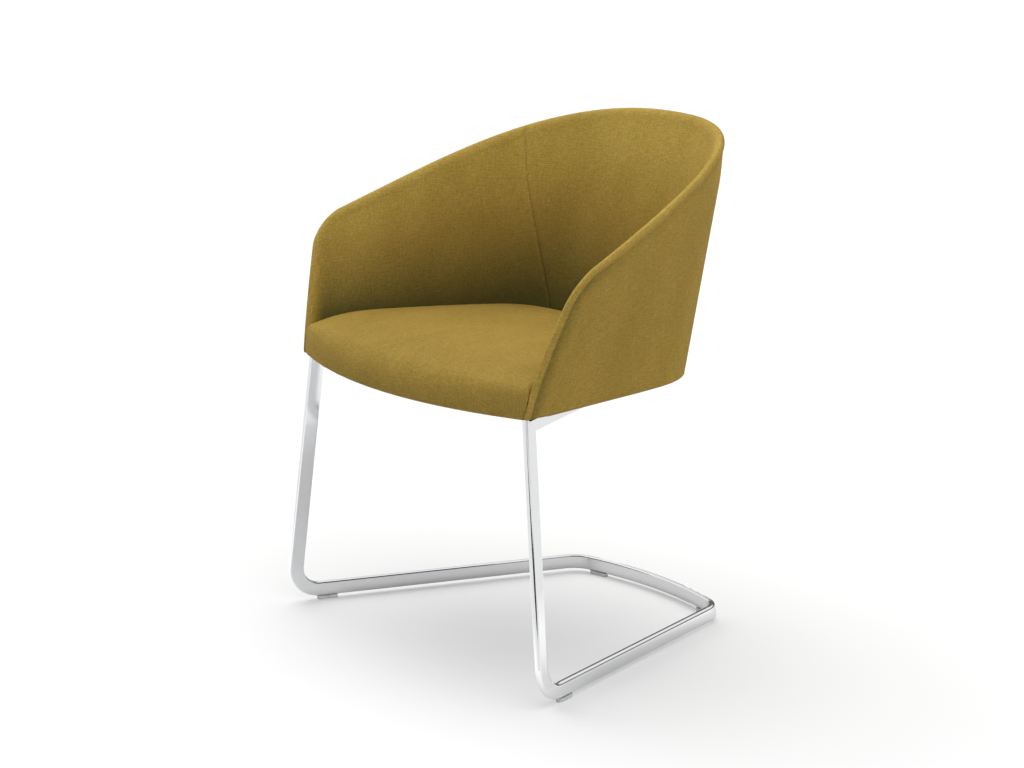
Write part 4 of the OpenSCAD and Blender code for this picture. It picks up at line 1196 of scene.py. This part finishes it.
floor_mesh = bpy.data.meshes.new("floor")
bm = bmesh.new()
bmesh.ops.create_circle(bm, cap_ends=True, segments=96, radius=FLOOR_RADIUS)
bm.to_mesh(floor_mesh)
bm.free()
floor = bpy.data.objects.new("floor", floor_mesh)
bpy.context.scene.collection.objects.link(floor)
floor.data.materials.append(floor_material())
print("floor", 2 * FLOOR_RADIUS, "m across")

# %% [markdown]
# The studio has three wide soft lights: one overhead, one from the left of the picture
# and a weaker, lower one from its right. They are smooth lobes in the surroundings, so
# the floor is lit evenly, and a level surface renders about as its colour is written.
#
# The camera and glass see plain white instead. Gloss sees its own sky: bright above,
# dark walls low down ahead, and one low dark band behind.

# %% Surroundings
LIGHTS = [((0.0, 0.0, 1.0), 2.4), ((-0.75, 0.0, 0.66), 2.2), ((0.87, -0.1, 0.5), 1.2)]
LOBE_POWER, FILL = 6.0, 0.05
SKY = [(0.0, 1.0), (0.5, 1.0), (0.72, 0.9), (0.86, 1.15)]  # nadir 0, level 0.5, zenith 1
SKY_TINT = (1.0, 1.0, 1.01)
DARK_AHEAD = [(0.0, 1.0), (0.06, 0.06), (0.62, 0.05), (0.80, 1.0)]  # level 0, zenith 1
DARK_BEHIND = [(0.0, 0.6), (0.04, 0.15), (0.34, 0.15), (0.44, 1.0)]
AHEAD_FROM, BEHIND_WAY, BEHIND_FROM = -0.12, (-0.45, 0.89), 0.5

world = bpy.data.worlds.new("studio")
bpy.context.scene.world = world
world.use_nodes = True
tree = world.node_tree
sky_way = tree.nodes.new("ShaderNodeTexCoord").outputs["Generated"]


def soft_light(direction, strength):
    dot = tree.nodes.new("ShaderNodeVectorMath")
    dot.operation = "DOT_PRODUCT"
    dot.inputs[1].default_value = Vector(direction).normalized()
    plug(tree, sky_way, dot.inputs[0])
    facing = larger(tree, dot.outputs["Value"], 0.0)
    return times(tree, maths(tree, "POWER", facing, LOBE_POWER), strength)


def dark_part(sky, way, begins, shades):
    within = maths(tree, "GREATER_THAN", along_way(tree, xyz, way), begins)
    return blend_colours(tree, within, sky, ramp(tree, xyz[2], shades))


light = FILL
for direction, strength in LIGHTS:
    light = plus(tree, soft_light(direction, strength), light)
xyz = parts(tree, sky_way)
up = plus(tree, times(tree, xyz[2], 0.5), 0.5)
sky = ramp(tree, up, [(place, tuple(v * c for c in SKY_TINT)) for place, v in SKY])
sky = dark_part(sky, FLAG_WAY, AHEAD_FROM, DARK_AHEAD)
sky = dark_part(sky, BEHIND_WAY, BEHIND_FROM, DARK_BEHIND)
rays = tree.nodes.new("ShaderNodeLightPath").outputs
lit = blend_colours(tree, rays["Is Glossy Ray"], light, sky)
plain = larger(tree, rays["Is Camera Ray"], rays["Is Transmission Ray"])
shown = blend_colours(tree, plain, lit, (1.0, 1.0, 1.0))
plug(tree, shown, tree.nodes["Background"].inputs["Color"])
print("soft lights", len(LIGHTS))

# %% [markdown]
# Last, the table of what rides on what. Each upholstered piece is fixed to the one body,
# and stands for the CAD solids of its cloth and its foam.

# %% Bodies and stand-ins
for piece, fill, stands_for in (
        (outer, 0.9, ("outer_cover",)),
        (inner_back, 0.9, ("inner_back_cover", "tub_foam")),
        (inner_arm_left, 0.9, ("inner_arm_cover_left",)),
        (inner_arm_right, 0.9, ("inner_arm_cover_right",)),
        (seat, 0.9, ("seat_cover", "seat_foam"))):
    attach(piece, "root")
    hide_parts(*stands_for)
